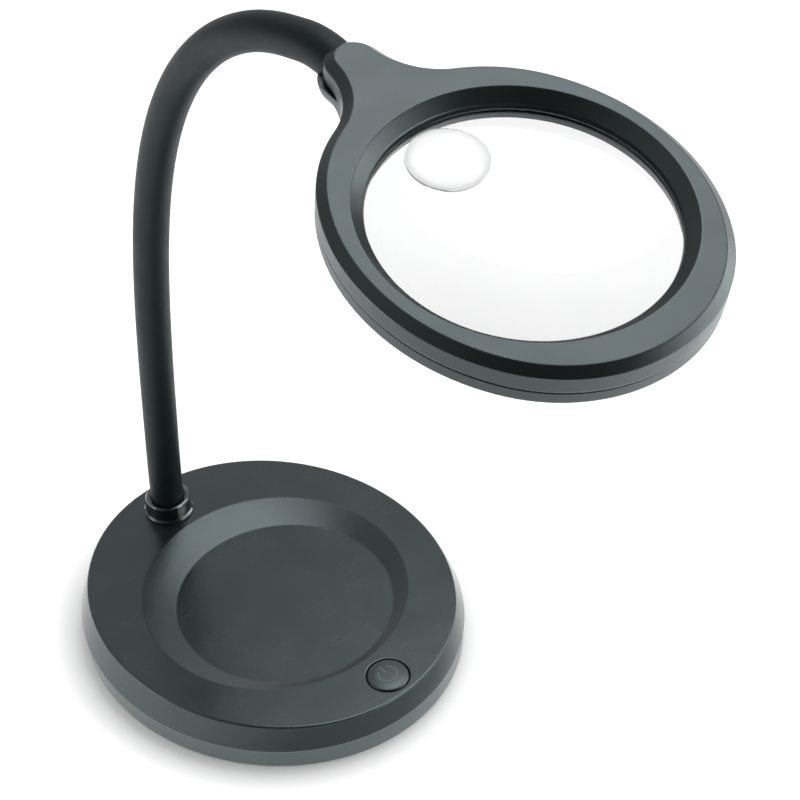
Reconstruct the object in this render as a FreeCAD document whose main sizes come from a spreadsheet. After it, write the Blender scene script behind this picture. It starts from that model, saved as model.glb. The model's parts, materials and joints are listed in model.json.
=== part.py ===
"""Magnifying lamp: an oval weighted base, a rubber-sleeved gooseneck and a ring head with two lenses.

Millimetres. The origin is the centre of the base on the surface that the lamp stands on. +Z is up,
-Y is the user's side with the button, and +Y is the side where the arm is rooted. Every sub-part is
alike left and right. The head hangs a few degrees out of line with the base, as the arm was last bent.
"""

import FreeCAD
import Part
import math
import os
import Sketcher

Vector = FreeCAD.Vector
Placement = FreeCAD.Placement
Rotation = FreeCAD.Rotation

SIZES = (
    # base covers
    ("base_half_width", 77.5, "widest edge of the base, from the centre, along X"),
    ("base_half_depth", 85.0, "widest edge of the base, from the centre, along Y"),
    ("base_height", 21.5, "flat top of the base above the table"),
    ("base_parting", 10.4, "height of the parting between the two covers"),
    ("base_underside", 0.8, "height of the bottom cover's underside, on its rubber ring"),
    ("rim_lean_side", 4.85, "how far the upper band leans in up to the rim, at the sides"),
    ("rim_lean_end", 2.25, "how far the upper band leans in up to the rim, at the front and rear"),
    ("rim_round", 0.6, "rounding of the rim"),
    ("lower_step", 0.3, "the lower band stands back from the widest edge by this"),
    ("lower_taper", 0.3, "the lower band leans in by this towards the underside"),
    ("lower_chamfer", 0.8, "bevel round the underside"),
    ("cover_wall", 2.2, "wall of the top cover"),
    ("tray_floor", 2.2, "floor of the bottom cover"),
    ("lip_height", 1.8, "locating lip of the bottom cover above the parting"),
    ("lip_wall", 1.3, "wall of the locating lip"),
    ("lip_gap", 0.15, "clearance between lip and top cover"),
    # dish
    ("dish_radius", 55.8, "rim of the dish"),
    ("dish_floor_radius", 45.4, "flat floor of the dish"),
    ("dish_depth", 2.7, "depth of the dish"),
    ("dish_setback", 2.9, "dish rim's centre, towards the user from the base's centre"),
    ("dish_floor_setback", 8.9, "dish floor's centre, towards the user from the base's centre"),
    # closing screws and feet
    ("screw_x", 61.0, "base screws, from the centre along X"),
    ("screw_rear_y", 33.0, "rear base screws along Y"),
    ("screw_front_y", 33.0, "front base screws along -Y"),
    ("boss_radius", 3.7, "screw bosses of the top cover"),
    ("pillar_radius", 4.8, "screw pillars of the bottom cover"),
    ("pillar_top", 7.2, "height where boss and pillar meet"),
    ("well_radius", 3.2, "wells for the screw heads"),
    ("well_depth", 3.0, "depth of the wells for the screw heads"),
    ("screw_radius", 1.45, "base screws"),
    ("screw_length", 9.0, "base screws under their heads"),
    ("screw_head_radius", 2.8, "base screws' heads"),
    ("screw_head_height", 1.8, "base screws' heads"),
    ("screw_gap", 0.05, "clearance round a screw in its pilot hole"),
    ("foot_inset", 6.4, "rubber foot ring, in from the widest edge of the base"),
    ("foot_width", 6.0, "rubber foot ring"),
    ("foot_recess", 0.6, "groove that the foot ring is glued into"),
    # ballast
    ("ballast_half_width", 62.0, "ballast plate along X"),
    ("ballast_half_depth", 54.0, "ballast plate along Y"),
    ("ballast_thickness", 5.0, "steel ballast plate"),
    ("ballast_gap", 1.6, "clearance of the ballast round the battery bay"),
    ("post_radius", 2.4, "posts that hold the ballast down"),
    ("post_x", 38.0, "posts along X"),
    ("post_y", 22.0, "posts along Y"),
    # battery bay
    ("cell_radius", 5.25, "AAA cell"),
    ("cell_length", 44.5, "AAA cell with its nub"),
    ("nub_radius", 1.9, "nub of the cell"),
    ("nub_height", 1.0, "nub of the cell"),
    ("cell_pitch", 11.1, "cells side by side"),
    ("cell_play", 0.15, "clearance of the cells over the floor of the bay"),
    ("bay_half_width", 16.8, "battery bay inside, from its middle"),
    ("bay_length", 51.6, "battery bay inside"),
    ("bay_centre", 6.0, "bay's centre, towards the user from the base's centre"),
    ("bay_wall", 1.5, "walls of the battery bay"),
    ("contact_height", 5.0, "battery contacts"),
    ("contact_sheet", 0.45, "sheet thickness of the battery contacts"),
    ("door_thickness", 1.2, "battery door"),
    ("door_ledge", 2.0, "ledge that the door rests against"),
    ("door_gap", 0.3, "clearance round the door"),
    ("tab_x", 7.4, "tabs of the battery door along X"),
    ("tab_width", 6.0, "tabs of the battery door"),
    ("tab_root", 1.6, "foot of each tab"),
    ("tab_reach", 2.4, "how far the tabs reach over the floor"),
    ("tab_thickness", 0.9, "tabs of the battery door"),
    # button and its board
    ("button_setback", 71.4, "button's centre, towards the user from the base's centre"),
    ("button_radius", 8.5, "button cap"),
    ("button_gap", 0.6, "clearance round the button cap"),
    ("button_rise", 0.3, "edge of the cap above the base's top"),
    ("button_crown", 0.6, "how much the cap is raised in the middle"),
    ("button_wall", 1.4, "top and side wall of the cap"),
    ("button_flange", 0.9, "flange that keeps the cap in, beyond its side"),
    ("button_travel", 1.0, "travel of the button"),
    ("guide_depth", 1.5, "guide ring under the top cover round the button"),
    ("board_height", 6.0, "underside of the control board"),
    ("board_thickness", 1.6, "control board"),
    ("board_width", 26.0, "control board along X"),
    ("board_depth", 15.0, "control board along Y"),
    ("board_post", 1.8, "posts under the control board"),
    ("switch_side", 6.0, "push switch"),
    ("switch_height", 3.4, "push switch without its plunger"),
    ("plunger_radius", 1.7, "plunger of the push switch"),
    ("plunger_rise", 1.4, "plunger above the push switch"),
    # arm root
    ("arm_setback", 66.7, "arm's root, away from the user from the base's centre"),
    ("collar_radius", 10.7, "flange of the arm collar"),
    ("collar_flange", 1.8, "height of the collar's flange"),
    ("collar_neck", 10.0, "collar just above its flange"),
    ("collar_lip", 9.3, "collar at its lip"),
    ("collar_height", 8.2, "arm collar"),
    ("seat_floor", 2.0, "floor of the collar, which the fitting clamps"),
    ("shoulder_radius", 7.2, "shoulder of the foot fitting on the collar's floor"),
    ("shoulder_height", 1.4, "shoulder of the foot fitting"),
    ("spigot_radius", 5.4, "spigot inside the sleeve's lower end"),
    ("spigot_height", 10.0, "spigot inside the sleeve's lower end"),
    ("stud_radius", 5.0, "threaded stud of the foot fitting"),
    ("stud_drop", 13.4, "how far the stud reaches below the base's top"),
    ("stud_gap", 0.1, "clearance of the stud in the collar and the nut"),
    ("clamp_pad", 6.0, "thickness of the top cover where the stud clamps it"),
    ("nut_width", 15.0, "nut across its flats"),
    ("nut_height", 4.6, "nut"),
    ("washer_radius", 9.0, "washer"),
    ("washer_height", 1.2, "washer"),
    # gooseneck
    ("sleeve_radius", 7.1, "outside of the rubber sleeve"),
    ("sleeve_bore", 5.7, "inside of the rubber sleeve"),
    ("sleeve_gap", 0.3, "clearance round the sleeve in collar and neck"),
    ("first_pivot", 38.5, "height of the lowest flexing point"),
    ("link_length", 26.95, "length of core between two flexing points"),
    ("lean", 3.17, "angle of the arm at its root, from upright, towards the user"),
    ("bend_growth", 3.25, "how strongly the bend gathers towards the head"),
    ("head_tilt", 11.4, "how far the head's far side hangs below level"),
    ("head_twist", -2.05, "roll of the head about its own length"),
    ("head_yaw", 3.2, "turn of the head's far side away from +X, about its own upright"),
    ("end_ease", 8.0, "sleeve's curve beside the collar and the neck"),
    ("ball_radius", 3.4, "balls of the core"),
    ("ball_gap", 0.3, "clearance between ball and socket"),
    ("socket_radius", 4.4, "outside of the sockets"),
    ("socket_mouth", 1.6, "how far a socket reaches round its ball"),
    ("stem_radius", 2.0, "stems between ball and socket"),
    ("core_bore", 1.25, "passage for the wire through the core"),
    ("bore_flare", 1.7, "how much the passage widens to the top of each ball"),
    ("wire_radius", 0.7, "lamp wire"),
    ("wire_bend", 15.0, "radius of the lamp wire at each flexing point"),
    # head shells
    ("ring_half_width", 61.05, "widest edge of the ring, from its centre, across"),
    ("ring_half_depth", 67.05, "widest edge of the ring, from its centre, along the neck"),
    ("ring_side", 12.6, "centres of the ring's side arcs, from its centre"),
    ("ring_bevel", 2.8, "width of the bevel round the top face"),
    ("bevel_drop", 3.2, "height of the bevel round the top face"),
    ("neck_radius", 9.9, "rounded end of the neck"),
    ("neck_out", 14.65, "centre of the neck's rounded end, beyond the ring"),
    ("pivot_out", 33.0, "last flexing point, beyond the ring"),
    ("neck_sweep", 26.0, "hollow curves from ring to neck"),
    ("head_parting", 8.6, "parting of the shells, below the top face"),
    ("head_thickness", 14.0, "whole ring"),
    ("shell_wall", 2.2, "walls of the head shells"),
    ("shell_floor", 2.0, "floor of the bottom shell"),
    ("shell_step", 0.2, "the bottom shell stands back by this"),
    ("groove_depth", 0.9, "shadow groove below the parting"),
    ("groove_height", 0.8, "shadow groove below the parting"),
    ("under_bevel", 0.6, "width of the bevel round the bottom shell"),
    ("under_bevel_drop", 4.2, "height of the bevel round the bottom shell"),
    ("belly_radius", 11.3, "the neck's rounded belly, about the gooseneck's axis"),
    ("belly_round", 8.0, "rounding of the belly's end"),
    ("belly_start", 3.5, "where the neck's belly leaves the underside, beyond the ring"),
    ("belly_full", 9.5, "where the neck's belly has its full depth, beyond the ring"),
    # lens seat and lenses
    ("eye_radius", 53.6, "outer edge of the bevel round the lens"),
    ("eye_bevel", 4.1, "width of the bevel round the lens"),
    ("eye_bevel_drop", 4.1, "height of the bevel round the lens"),
    ("lens_opening", 49.0, "clear opening over the lens"),
    ("lens_radius", 51.0, "edge of the main lens"),
    ("lens_gap", 0.2, "clearance round the main lens"),
    ("lens_play", 0.05, "clearance over and under the main lens"),
    ("lens_wall", 1.8, "wall round the main lens"),
    ("lens_depth", 6.4, "lens edge below the top face"),
    ("lens_edge", 2.7, "thickness of the main lens at its edge"),
    ("lens_curve", 330.0, "radius of the main lens's faces"),
    ("spot_radius", 13.5, "spot lens"),
    ("spot_shift", 35.0, "spot lens, from the ring's centre towards the neck"),
    ("spot_curve", 48.0, "radius of the spot lens's lower face"),
    ("spot_edge", 0.6, "spot lens below the main lens at its edge"),
    # fitting in the neck
    ("shank_radius", 4.3, "head fitting in the neck"),
    ("shank_out", 8.0, "inner end of the head fitting, beyond the ring"),
    ("shank_flange", 6.3, "flange that locks the fitting in the shells"),
    ("flange_out", 12.5, "inner side of that flange, beyond the ring"),
    ("flange_width", 2.4, "thickness of that flange"),
    ("fit_gap", 0.1, "clearance of the fitting in the shells"),
    ("sleeve_out", 21.0, "where the sleeve ends in the neck, beyond the ring"),
    # head screws
    ("screw_in", 5.05, "head screws round the ring, in from its edge"),
    ("head_boss", 2.5, "bosses of the head screws"),
    ("head_screw", 0.95, "head screws"),
    ("head_screw_length", 7.0, "head screws under their heads"),
    ("head_screw_cap", 1.8, "head screws' heads"),
    ("head_cap_height", 1.1, "head screws' heads"),
    ("head_well", 2.0, "wells for the head screws"),
    ("head_well_depth", 2.2, "wells for the head screws"),
    ("neck_screw_x", 8.2, "neck screws along X"),
    ("neck_screw_out", 6.5, "neck screws, beyond the ring"),
    # light
    ("light_out", 5.8, "middle of the light, outside the lens's wall"),
    ("light_width", 24.0, "window of the light along X"),
    ("light_depth", 7.6, "window of the light along Y"),
    ("window_ledge", 1.0, "ledge that the window rests on"),
    ("window_thickness", 1.0, "window of the light"),
    ("chamber_out", 2.0, "end wall of the light's chamber, beyond the ring"),
    ("led_board_thickness", 1.0, "LED board"),
    ("led_x", 6.0, "LEDs along X"),
    ("led_radius", 1.5, "LEDs"),
    ("led_height", 1.7, "LEDs below their board, with their domes"),
)

PIVOTS = 13

doc = FreeCAD.newDocument("magnifying_lamp")


def fill_sheet():
    """The driving dimensions, one row each: name, value, meaning."""
    made = doc.addObject("Spreadsheet::Sheet", "Sizes")
    for row, (name, number, meaning) in enumerate(SIZES, start=1):
        made.set("A%d" % row, name)
        made.set("B%d" % row, str(number))
        made.set("C%d" % row, meaning)
        made.setAlias("B%d" % row, name)
    doc.recompute()
    return made


sheet = fill_sheet()
ALIASES = sorted((name for name, _, _ in SIZES), key=len, reverse=True)
parts = []


def linked(text):
    """An expression with its sheet names written out in full."""
    words = []
    word = ""
    for letter in text + " ":
        if letter.isalnum() or letter == "_":
            word += letter
            continue
        words.append("Sizes." + word if word in ALIASES else word)
        words.append(letter)
        word = ""
    return "".join(words).strip()


def value(text):
    """The number that an expression of sheet names stands for."""
    return float(sheet.evalExpression(linked(text)))


def bind(thing, name, text):
    thing.setExpression(name, linked(text))


# ---------------------------------------------------------------- sketching


def body(label):
    made = doc.addObject("PartDesign::Body", label)
    made.Label = label
    parts.append(made)
    return made


def origin_plane(owner, role):
    return next(f for f in owner.Origin.OriginFeatures if f.Role == role)


def attach(thing, owner, role, offset="0"):
    """Puts a sketch or primitive on an origin plane of its body, moved along that plane's normal."""
    thing.AttachmentSupport = [(origin_plane(owner, role), "")]
    thing.MapMode = "FlatFace"
    bind(thing, "AttachmentOffset.Base.z", offset)
    return thing


def sketch(owner, role="XY_Plane", offset="0"):
    made = owner.newObject("Sketcher::SketchObject", "Sketch")
    return attach(made, owner, role, offset)


def fix(drawing, edge, end, place):
    """Sets a point of the sketch to a pair of expressions."""
    for kind, text in zip(("DistanceX", "DistanceY"), place):
        index = drawing.addConstraint(Sketcher.Constraint(kind, edge, end, value(text)))
        bind(drawing, "Constraints[%d]" % index, text)


def level(drawing, edge, end, text):
    """Sets how high a point of the sketch lies, and leaves its other coordinate to the sketch."""
    index = drawing.addConstraint(Sketcher.Constraint("DistanceY", edge, end, value(text)))
    bind(drawing, "Constraints[%d]" % index, text)


def measure(drawing, kind, edge, text):
    """Sets a length or radius in the sketch to an expression."""
    index = drawing.addConstraint(Sketcher.Constraint(kind, edge, value(text)))
    bind(drawing, "Constraints[%d]" % index, text)


def polygon(drawing, corners):
    """A closed outline of straight edges through corners, each a pair of expressions."""
    points = [Vector(value(x), value(y), 0) for x, y in corners]
    first = drawing.GeometryCount
    count = len(points)
    for index in range(count):
        line = Part.LineSegment(points[index], points[(index + 1) % count])
        drawing.addGeometry(line, False)
    for index in range(count):
        after = first + (index + 1) % count
        drawing.addConstraint(Sketcher.Constraint("Coincident", first + index, 2, after, 1))
        fix(drawing, first + index, 1, corners[index])


def rectangle(drawing, left, right, low, high):
    polygon(drawing, ((left, low), (right, low), (right, high), (left, high)))


def circle(drawing, x, y, radius):
    edge = Part.Circle(Vector(value(x), value(y), 0), Vector(0, 0, 1), value(radius))
    index = drawing.addGeometry(edge, False)
    measure(drawing, "Radius", index, radius)
    fix(drawing, index, 3, (x, y))


def ellipse(drawing, half_width, half_depth):
    """An ellipse about the sketch's origin that is longer along its own Y."""
    wide = Vector(value(half_width), 0, 0)
    deep = Vector(0, value(half_depth), 0)
    index = drawing.addGeometry(Part.Ellipse(deep, -wide, Vector(0, 0, 0)), False)
    drawing.exposeInternalGeometry(index)
    drawing.addConstraint(Sketcher.Constraint("Vertical", index + 1))
    measure(drawing, "Distance", index + 1, "2 * (%s)" % half_depth)
    measure(drawing, "Distance", index + 2, "2 * (%s)" % half_width)
    fix(drawing, index, 3, ("0", "0"))


# ---------------------------------------------------------------- features


def solid_volume(owner):
    return owner.Shape.Volume if owner.Shape.Solids else 0.0


def feature(owner, kind, drawing):
    made = owner.newObject("PartDesign::" + kind, kind)
    made.Profile = drawing
    return made


def settle(owner, before, grows):
    doc.recompute()
    change = solid_volume(owner) - before
    if (change <= 1e-6) if grows else (change >= -1e-6):
        raise RuntimeError("%s: a feature changed nothing" % owner.Label)


def pad(owner, drawing, length, downward=False):
    before = solid_volume(owner)
    made = feature(owner, "Pad", drawing)
    bind(made, "Length", length)
    made.Reversed = downward
    settle(owner, before, True)
    return made


def pocket(owner, drawing, depth=None, upward=False):
    """Cuts a sketch downwards, or upwards, to a depth or right through."""
    before = solid_volume(owner)
    made = feature(owner, "Pocket", drawing)
    made.Reversed = upward
    if depth is None:
        made.Type = "ThroughAll"
    else:
        bind(made, "Length", depth)
    settle(owner, before, False)
    return made


def spin(owner, kind, drawing, axis="V_Axis"):
    """A Revolution or Groove of a sketch all the way round an axis of that sketch."""
    before = solid_volume(owner)
    made = feature(owner, kind, drawing)
    made.ReferenceAxis = (drawing, [axis])
    made.Angle = 360
    settle(owner, before, kind == "Revolution")
    return made


def loft(owner, kind, first, *others):
    """Joins sketches, bottom to top, with straight sides."""
    before = solid_volume(owner)
    made = feature(owner, kind, first)
    made.Sections = list(others)
    made.Ruled = True
    settle(owner, before, kind == "AdditiveLoft")
    return made


def primitive(owner, kind, role="XY_Plane", offset="0", **sizes):
    """An additive or subtractive primitive, on an origin plane, with its sizes bound."""
    before = solid_volume(owner)
    made = owner.newObject("PartDesign::" + kind, kind)
    attach(made, owner, role, offset)
    for name, text in sizes.items():
        bind(made, name, text)
    settle(owner, before, kind.startswith("Additive"))
    return made


def edges_where(owner, test):
    """Names of the body's edges that pass a test."""
    return ["Edge%d" % n for n, e in enumerate(owner.Shape.Edges, start=1) if test(e)]


def at_height(edge, height):
    box = edge.BoundBox
    return abs(box.ZMin - height) < 1e-4 and abs(box.ZMax - height) < 1e-4


def round_off(owner, names, radius):
    dressed = owner.Tip
    made = owner.newObject("PartDesign::Fillet", "Fillet")
    made.Base = (dressed, names)
    bind(made, "Radius", radius)
    doc.recompute()
    return made


def bevel(owner, names, width, drop=None, flip=False):
    """A chamfer, with its own width and height where drop is given."""
    dressed = owner.Tip
    made = owner.newObject("PartDesign::Chamfer", "Chamfer")
    made.Base = (dressed, names)
    bind(made, "Size", width)
    if drop is not None:
        made.ChamferType = "Two distances"
        made.FlipDirection = flip
        bind(made, "Size2", drop)
    doc.recompute()
    return made


def four_places(x, rear, front):
    """Two pairs of places, mirrored about X = 0: one pair at rear, one at -front."""
    return [(side % x, y) for y in ("(%s)" % rear, "-(%s)" % front) for side in ("(%s)", "-(%s)")]


def circles(drawing, places, radius):
    for x, y in places:
        circle(drawing, x, y, radius)


BASE_SCREWS = four_places("screw_x", "screw_rear_y", "screw_front_y")
FLOOR_TOP = "base_underside + tray_floor"
DISH_UNDERSIDE = "base_height - dish_depth - cover_wall"
BAY_FRONT = "-bay_centre - bay_length / 2"
BAY_REAR = "-bay_centre + bay_length / 2"
CELL_AXIS = FLOOR_TOP + " + cell_radius + cell_play"
CONTACT_LOW = CELL_AXIS + " - contact_height / 2"


NECK_CENTRE = "(ring_half_depth + neck_out)"
NECK_PIVOT = "(ring_half_depth + pivot_out)"
SLEEVE_STOP = "(ring_half_depth + sleeve_out)"
FLANGE_START = "(ring_half_depth + flange_out)"
SHANK_END = "(ring_half_depth + shank_out)"
CHAMBER_END = "(ring_half_depth + chamber_out)"
BELLY_START = "(ring_half_depth + belly_start)"
BELLY_FULL = "(ring_half_depth + belly_full)"
SEAT_RADIUS = "(lens_radius + lens_gap)"
WALL_RADIUS = "(lens_radius + lens_gap + lens_wall)"
LIGHT_Y = "(lens_radius + lens_gap + lens_wall + light_out)"


# ---------------------------------------------------------------- base


def leant(rise):
    """The share of its whole lean that the upper band has at a rise above the parting."""
    return "(%s) / (base_height - base_parting)" % rise


UPPER_BAND = (
    ("base_parting", "0", "0"),
    ("base_height - rim_round", leant("base_height - base_parting - rim_round"), "0"),
    ("base_height - rim_round * 0.3", "1", "rim_round * 0.1"),
    ("base_height", "1", "rim_round * 0.8"),
)
UPPER_HOLLOW = (
    ("base_parting", "0", "cover_wall"),
    ("base_height - cover_wall", leant("base_height - base_parting - cover_wall"), "cover_wall"),
)
LOWER_BAND = (
    ("base_underside", "0", "lower_step + lower_taper + lower_chamfer"),
    ("base_underside + lower_chamfer", "0", "lower_step + lower_taper"),
    ("base_parting", "0", "lower_step"),
)
LIP = (
    ("base_parting - 1.5", leant("-1.5"), "cover_wall + lip_gap"),
    ("base_parting + lip_height", leant("lip_height"), "cover_wall + lip_gap"),
)


def base_oval(drawing, lean, inset):
    """The base's outline where the band has a share of its lean, set in by an amount."""
    width = "base_half_width - rim_lean_side * (%s) - (%s)" % (lean, inset)
    depth = "base_half_depth - rim_lean_end * (%s) - (%s)" % (lean, inset)
    ellipse(drawing, width, depth)


def leaning(owner, kind, stations):
    """A loft through base outlines, each a height, a share of the lean and an inset."""
    sections = []
    for height, lean, inset in stations:
        section = sketch(owner, offset=height)
        base_oval(section, lean, inset)
        sections.append(section)
    loft(owner, kind, *sections)


def base_top_cover():
    """The upper shell: leaning band, flat top with a dish, button hole and the arm's clamp pad."""
    made = body("base_top_cover")
    leaning(made, "AdditiveLoft", UPPER_BAND)
    leaning(made, "SubtractiveLoft", UPPER_HOLLOW)

    rim = sketch(made, offset="base_height - cover_wall / 2")
    circle(rim, "0", "-dish_setback", "dish_radius")
    floor = sketch(made, offset=DISH_UNDERSIDE)
    circle(floor, "0", "-dish_floor_setback", "dish_floor_radius")
    loft(made, "AdditiveLoft", rim, floor)
    rim = sketch(made, offset="base_height")
    circle(rim, "0", "-dish_setback", "dish_radius")
    floor = sketch(made, offset="base_height - dish_depth")
    circle(floor, "0", "-dish_floor_setback", "dish_floor_radius")
    loft(made, "SubtractiveLoft", rim, floor)

    bosses = sketch(made, offset="pillar_top")
    circles(bosses, BASE_SCREWS, "boss_radius")
    pad(made, bosses, "base_height - cover_wall / 2 - pillar_top")
    posts = sketch(made, offset="%s + ballast_thickness" % FLOOR_TOP)
    places = four_places("post_x", "post_y - bay_centre", "post_y + bay_centre")
    circles(posts, places, "post_radius")
    post_height = "base_height - dish_depth - cover_wall / 2 - (%s) - ballast_thickness"
    pad(made, posts, post_height % FLOOR_TOP)

    clamp = sketch(made, offset="base_height - clamp_pad")
    circle(clamp, "0", "arm_setback", "washer_radius + 1.5")
    pad(made, clamp, "clamp_pad - cover_wall / 2")
    guide = sketch(made, offset="base_height - cover_wall - guide_depth")
    circle(guide, "0", "-button_setback", "button_radius + button_gap + 1.6")
    pad(made, guide, "guide_depth + cover_wall / 2")

    holes = sketch(made, offset="base_height")
    circle(holes, "0", "-button_setback", "button_radius + button_gap")
    circle(holes, "0", "arm_setback", "stud_radius + sleeve_gap")
    pocket(made, holes, "base_height")
    pilots = sketch(made, offset="pillar_top")
    circles(pilots, BASE_SCREWS, "screw_radius + screw_gap")
    pocket(made, pilots, "screw_length - 1", upward=True)


def base_bottom_cover():
    """The tray: lower band, floor, locating lip, screw pillars, battery bay and board posts."""
    made = body("base_bottom_cover")
    leaning(made, "AdditiveLoft", LOWER_BAND)
    locating_lip(made)

    pillars = sketch(made, offset="base_underside + tray_floor / 2")
    circles(pillars, BASE_SCREWS, "pillar_radius")
    pad(made, pillars, "pillar_top - base_underside - tray_floor / 2")
    posts = sketch(made, offset="base_underside + tray_floor / 2")
    margin = "board_depth / 2 - board_post - 0.5"
    places = four_places(
        "board_width / 2 - board_post - 0.5",
        "-button_setback + %s" % margin,
        "button_setback + %s" % margin,
    )
    circles(posts, places, "board_post")
    pad(made, posts, "board_height - base_underside - tray_floor / 2")
    battery_bay(made)

    wells = sketch(made, offset="base_underside")
    circles(wells, BASE_SCREWS, "well_radius")
    pocket(made, wells, "well_depth", upward=True)
    shanks = sketch(made, offset="base_underside")
    circles(shanks, BASE_SCREWS, "screw_radius + 0.3")
    pocket(made, shanks, "pillar_top", upward=True)
    groove = sketch(made, offset="base_underside")
    foot_outline(groove, "0.2")
    pocket(made, groove, "foot_recess", upward=True)


def locating_lip(made):
    """The lip that stands up inside the top cover, and the tray's hollow inside it."""
    leaning(made, "AdditiveLoft", LIP)
    inside = sketch(made, offset="base_parting + lip_height")
    _, lean, inset = LIP[-1]
    base_oval(inside, lean, inset + " + lip_wall")
    pocket(made, inside, "base_parting + lip_height - base_underside - tray_floor")


def battery_bay(made):
    """The walled bay, its opening with a ledge, the door's recess and the slots for its tabs."""
    walls = sketch(made, offset="base_underside + tray_floor / 2")
    outer = "(bay_half_width + bay_wall)"
    rectangle(walls, "-" + outer, outer, BAY_FRONT + " - bay_wall", BAY_REAR + " + bay_wall")
    rectangle(walls, "-bay_half_width", "bay_half_width", BAY_FRONT, BAY_REAR)
    pad(made, walls, "%s - 0.3 - base_underside - tray_floor / 2" % DISH_UNDERSIDE)
    opening = sketch(made, offset="base_underside")
    ledge = BAY_FRONT + " + door_ledge"
    rectangle(opening, "-bay_half_width", "bay_half_width", ledge, BAY_REAR)
    pocket(made, opening, "tray_floor + 1", upward=True)
    recess = sketch(made, offset="base_underside")
    rectangle(recess, "-bay_half_width", "bay_half_width", BAY_FRONT, ledge + " + 1")
    pocket(made, recess, "door_thickness + 0.1", upward=True)
    slots = sketch(made, offset=FLOOR_TOP)
    for middle in ("-tab_x", "tab_x"):
        reach = "(tab_width / 2 + door_gap)"
        left, right = "%s - %s" % (middle, reach), "%s + %s" % (middle, reach)
        rectangle(slots, left, right, BAY_REAR + " - 1", BAY_REAR + " + bay_wall + 1")
    pocket(made, slots, "3 * tab_thickness", upward=True)


def ballast_plate():
    """The steel plate in the tray, cut out round the battery bay."""
    made = body("ballast_plate")
    outline = sketch(made, offset=FLOOR_TOP)
    ellipse(outline, "ballast_half_depth", "ballast_half_width")
    outline.AttachmentOffset = Placement(Vector(0, 0, 0), Rotation(Vector(0, 0, 1), 90))
    bind(outline, "AttachmentOffset.Base.z", FLOOR_TOP)
    pad(made, outline, "ballast_thickness")
    hole = sketch(made, offset=FLOOR_TOP)
    side = "(bay_half_width + bay_wall + ballast_gap)"
    front = BAY_FRONT + " - bay_wall - ballast_gap"
    rear = BAY_REAR + " + bay_wall + ballast_gap"
    rectangle(hole, "-" + side, side, front, rear)
    pocket(made, hole, "ballast_thickness", upward=True)


def base_screws():
    """Four self-tapping screws that close the base from below."""
    made = body("base_screws")
    made.AllowCompound = True
    seat = "base_underside + well_depth"
    shanks = sketch(made, offset=seat)
    circles(shanks, BASE_SCREWS, "screw_radius")
    pad(made, shanks, "screw_length")
    heads = sketch(made, offset=seat)
    circles(heads, BASE_SCREWS, "screw_head_radius")
    pad(made, heads, "screw_head_height", downward=True)
    drives = sketch(made, offset="%s - screw_head_height" % seat)
    for x, y in BASE_SCREWS:
        cross(drives, x, y, "1.6", "0.35")
    pocket(made, drives, "0.9", upward=True)


def cross(drawing, x, y, arm, half):
    """A plus-shaped outline about a place, for a screw's drive."""
    steps = (
        (half, half), (arm, half), (arm, "-" + half), (half, "-" + half),
        (half, "-" + arm), ("-" + half, "-" + arm), ("-" + half, "-" + half), ("-" + arm, "-" + half),
        ("-" + arm, half), ("-" + half, half), ("-" + half, arm), (half, arm),
    )
    polygon(drawing, [("%s + %s" % (x, dx), "%s + %s" % (y, dy)) for dx, dy in steps])


def foot_outline(drawing, gap):
    """The two ellipses of the foot ring, spread apart by a gap."""
    outer = "foot_inset - %s" % gap
    inner = "foot_inset + foot_width + %s" % gap
    for inset in (outer, inner):
        base_oval(drawing, "0", inset)


def foot_ring():
    """The rubber ring that the base stands on, glued into the underside."""
    made = body("foot_ring")
    outline = sketch(made)
    foot_outline(outline, "0")
    pad(made, outline, "base_underside + foot_recess")


# ---------------------------------------------------------------- batteries


def battery_cell(number, column, turned):
    """An AAA cell lying along Y, its nub towards the user unless turned."""
    made = body("battery_cell_%d" % number)
    profile = sketch(made, "XZ_Plane")
    shoulder = "cell_length - nub_height"
    polygon(
        profile,
        (
            ("0", "0"),
            ("cell_radius - 0.4", "0"),
            ("cell_radius", "0.4"),
            ("cell_radius", shoulder + " - 0.6"),
            ("cell_radius - 0.6", shoulder),
            ("nub_radius", shoulder),
            ("nub_radius", "cell_length"),
            ("0", "cell_length"),
        ),
    )
    spin(made, "Revolution", profile)
    front = value(BAY_FRONT + " + contact_sheet")
    rear = value(BAY_REAR + " - contact_sheet")
    x = column * value("cell_pitch")
    length = value("cell_length")
    if turned:
        place = Placement(Vector(x, rear - length, value(CELL_AXIS)), about_x(-90))
    else:
        place = Placement(Vector(x, front + length, value(CELL_AXIS)), about_x(90))
    made.Placement = place


def contact_plates():
    """Flat contacts for the nubs: two at the user's end of the bay, one at the other end."""
    made = body("contact_plates")
    made.AllowCompound = True
    outline = sketch(made, offset=CONTACT_LOW)
    for x in ("-cell_pitch", "cell_pitch"):
        rectangle(outline, x + " - 4", x + " + 4", BAY_FRONT, BAY_FRONT + " + contact_sheet")
    rectangle(outline, "-4", "4", BAY_REAR + " - contact_sheet", BAY_REAR)
    pad(made, outline, "contact_height")


def contact_springs():
    """Leaf springs for the flat ends of the cells."""
    made = body("contact_springs")
    made.AllowCompound = True
    outline = sketch(made, offset=CONTACT_LOW)
    reach = "(bay_length - cell_length - contact_sheet - 0.05)"
    leaves = (("-cell_pitch", BAY_REAR, "-"), ("0", BAY_FRONT, "+"), ("cell_pitch", BAY_REAR, "-"))
    for x, wall, inward in leaves:
        crest = "%s %s %s" % (wall, inward, reach)
        inner = "%s %s (%s - contact_sheet)" % (wall, inward, reach)
        corners = (
            (x + " - 4.2", wall),
            (x + " - 0.9", crest),
            (x + " + 0.9", crest),
            (x + " + 4.2", wall),
            (x + " + 3.6", wall),
            (x + " + 0.6", inner),
            (x + " - 0.6", inner),
            (x + " - 3.6", wall),
        )
        polygon(outline, corners)
    pad(made, outline, "contact_height")


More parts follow.
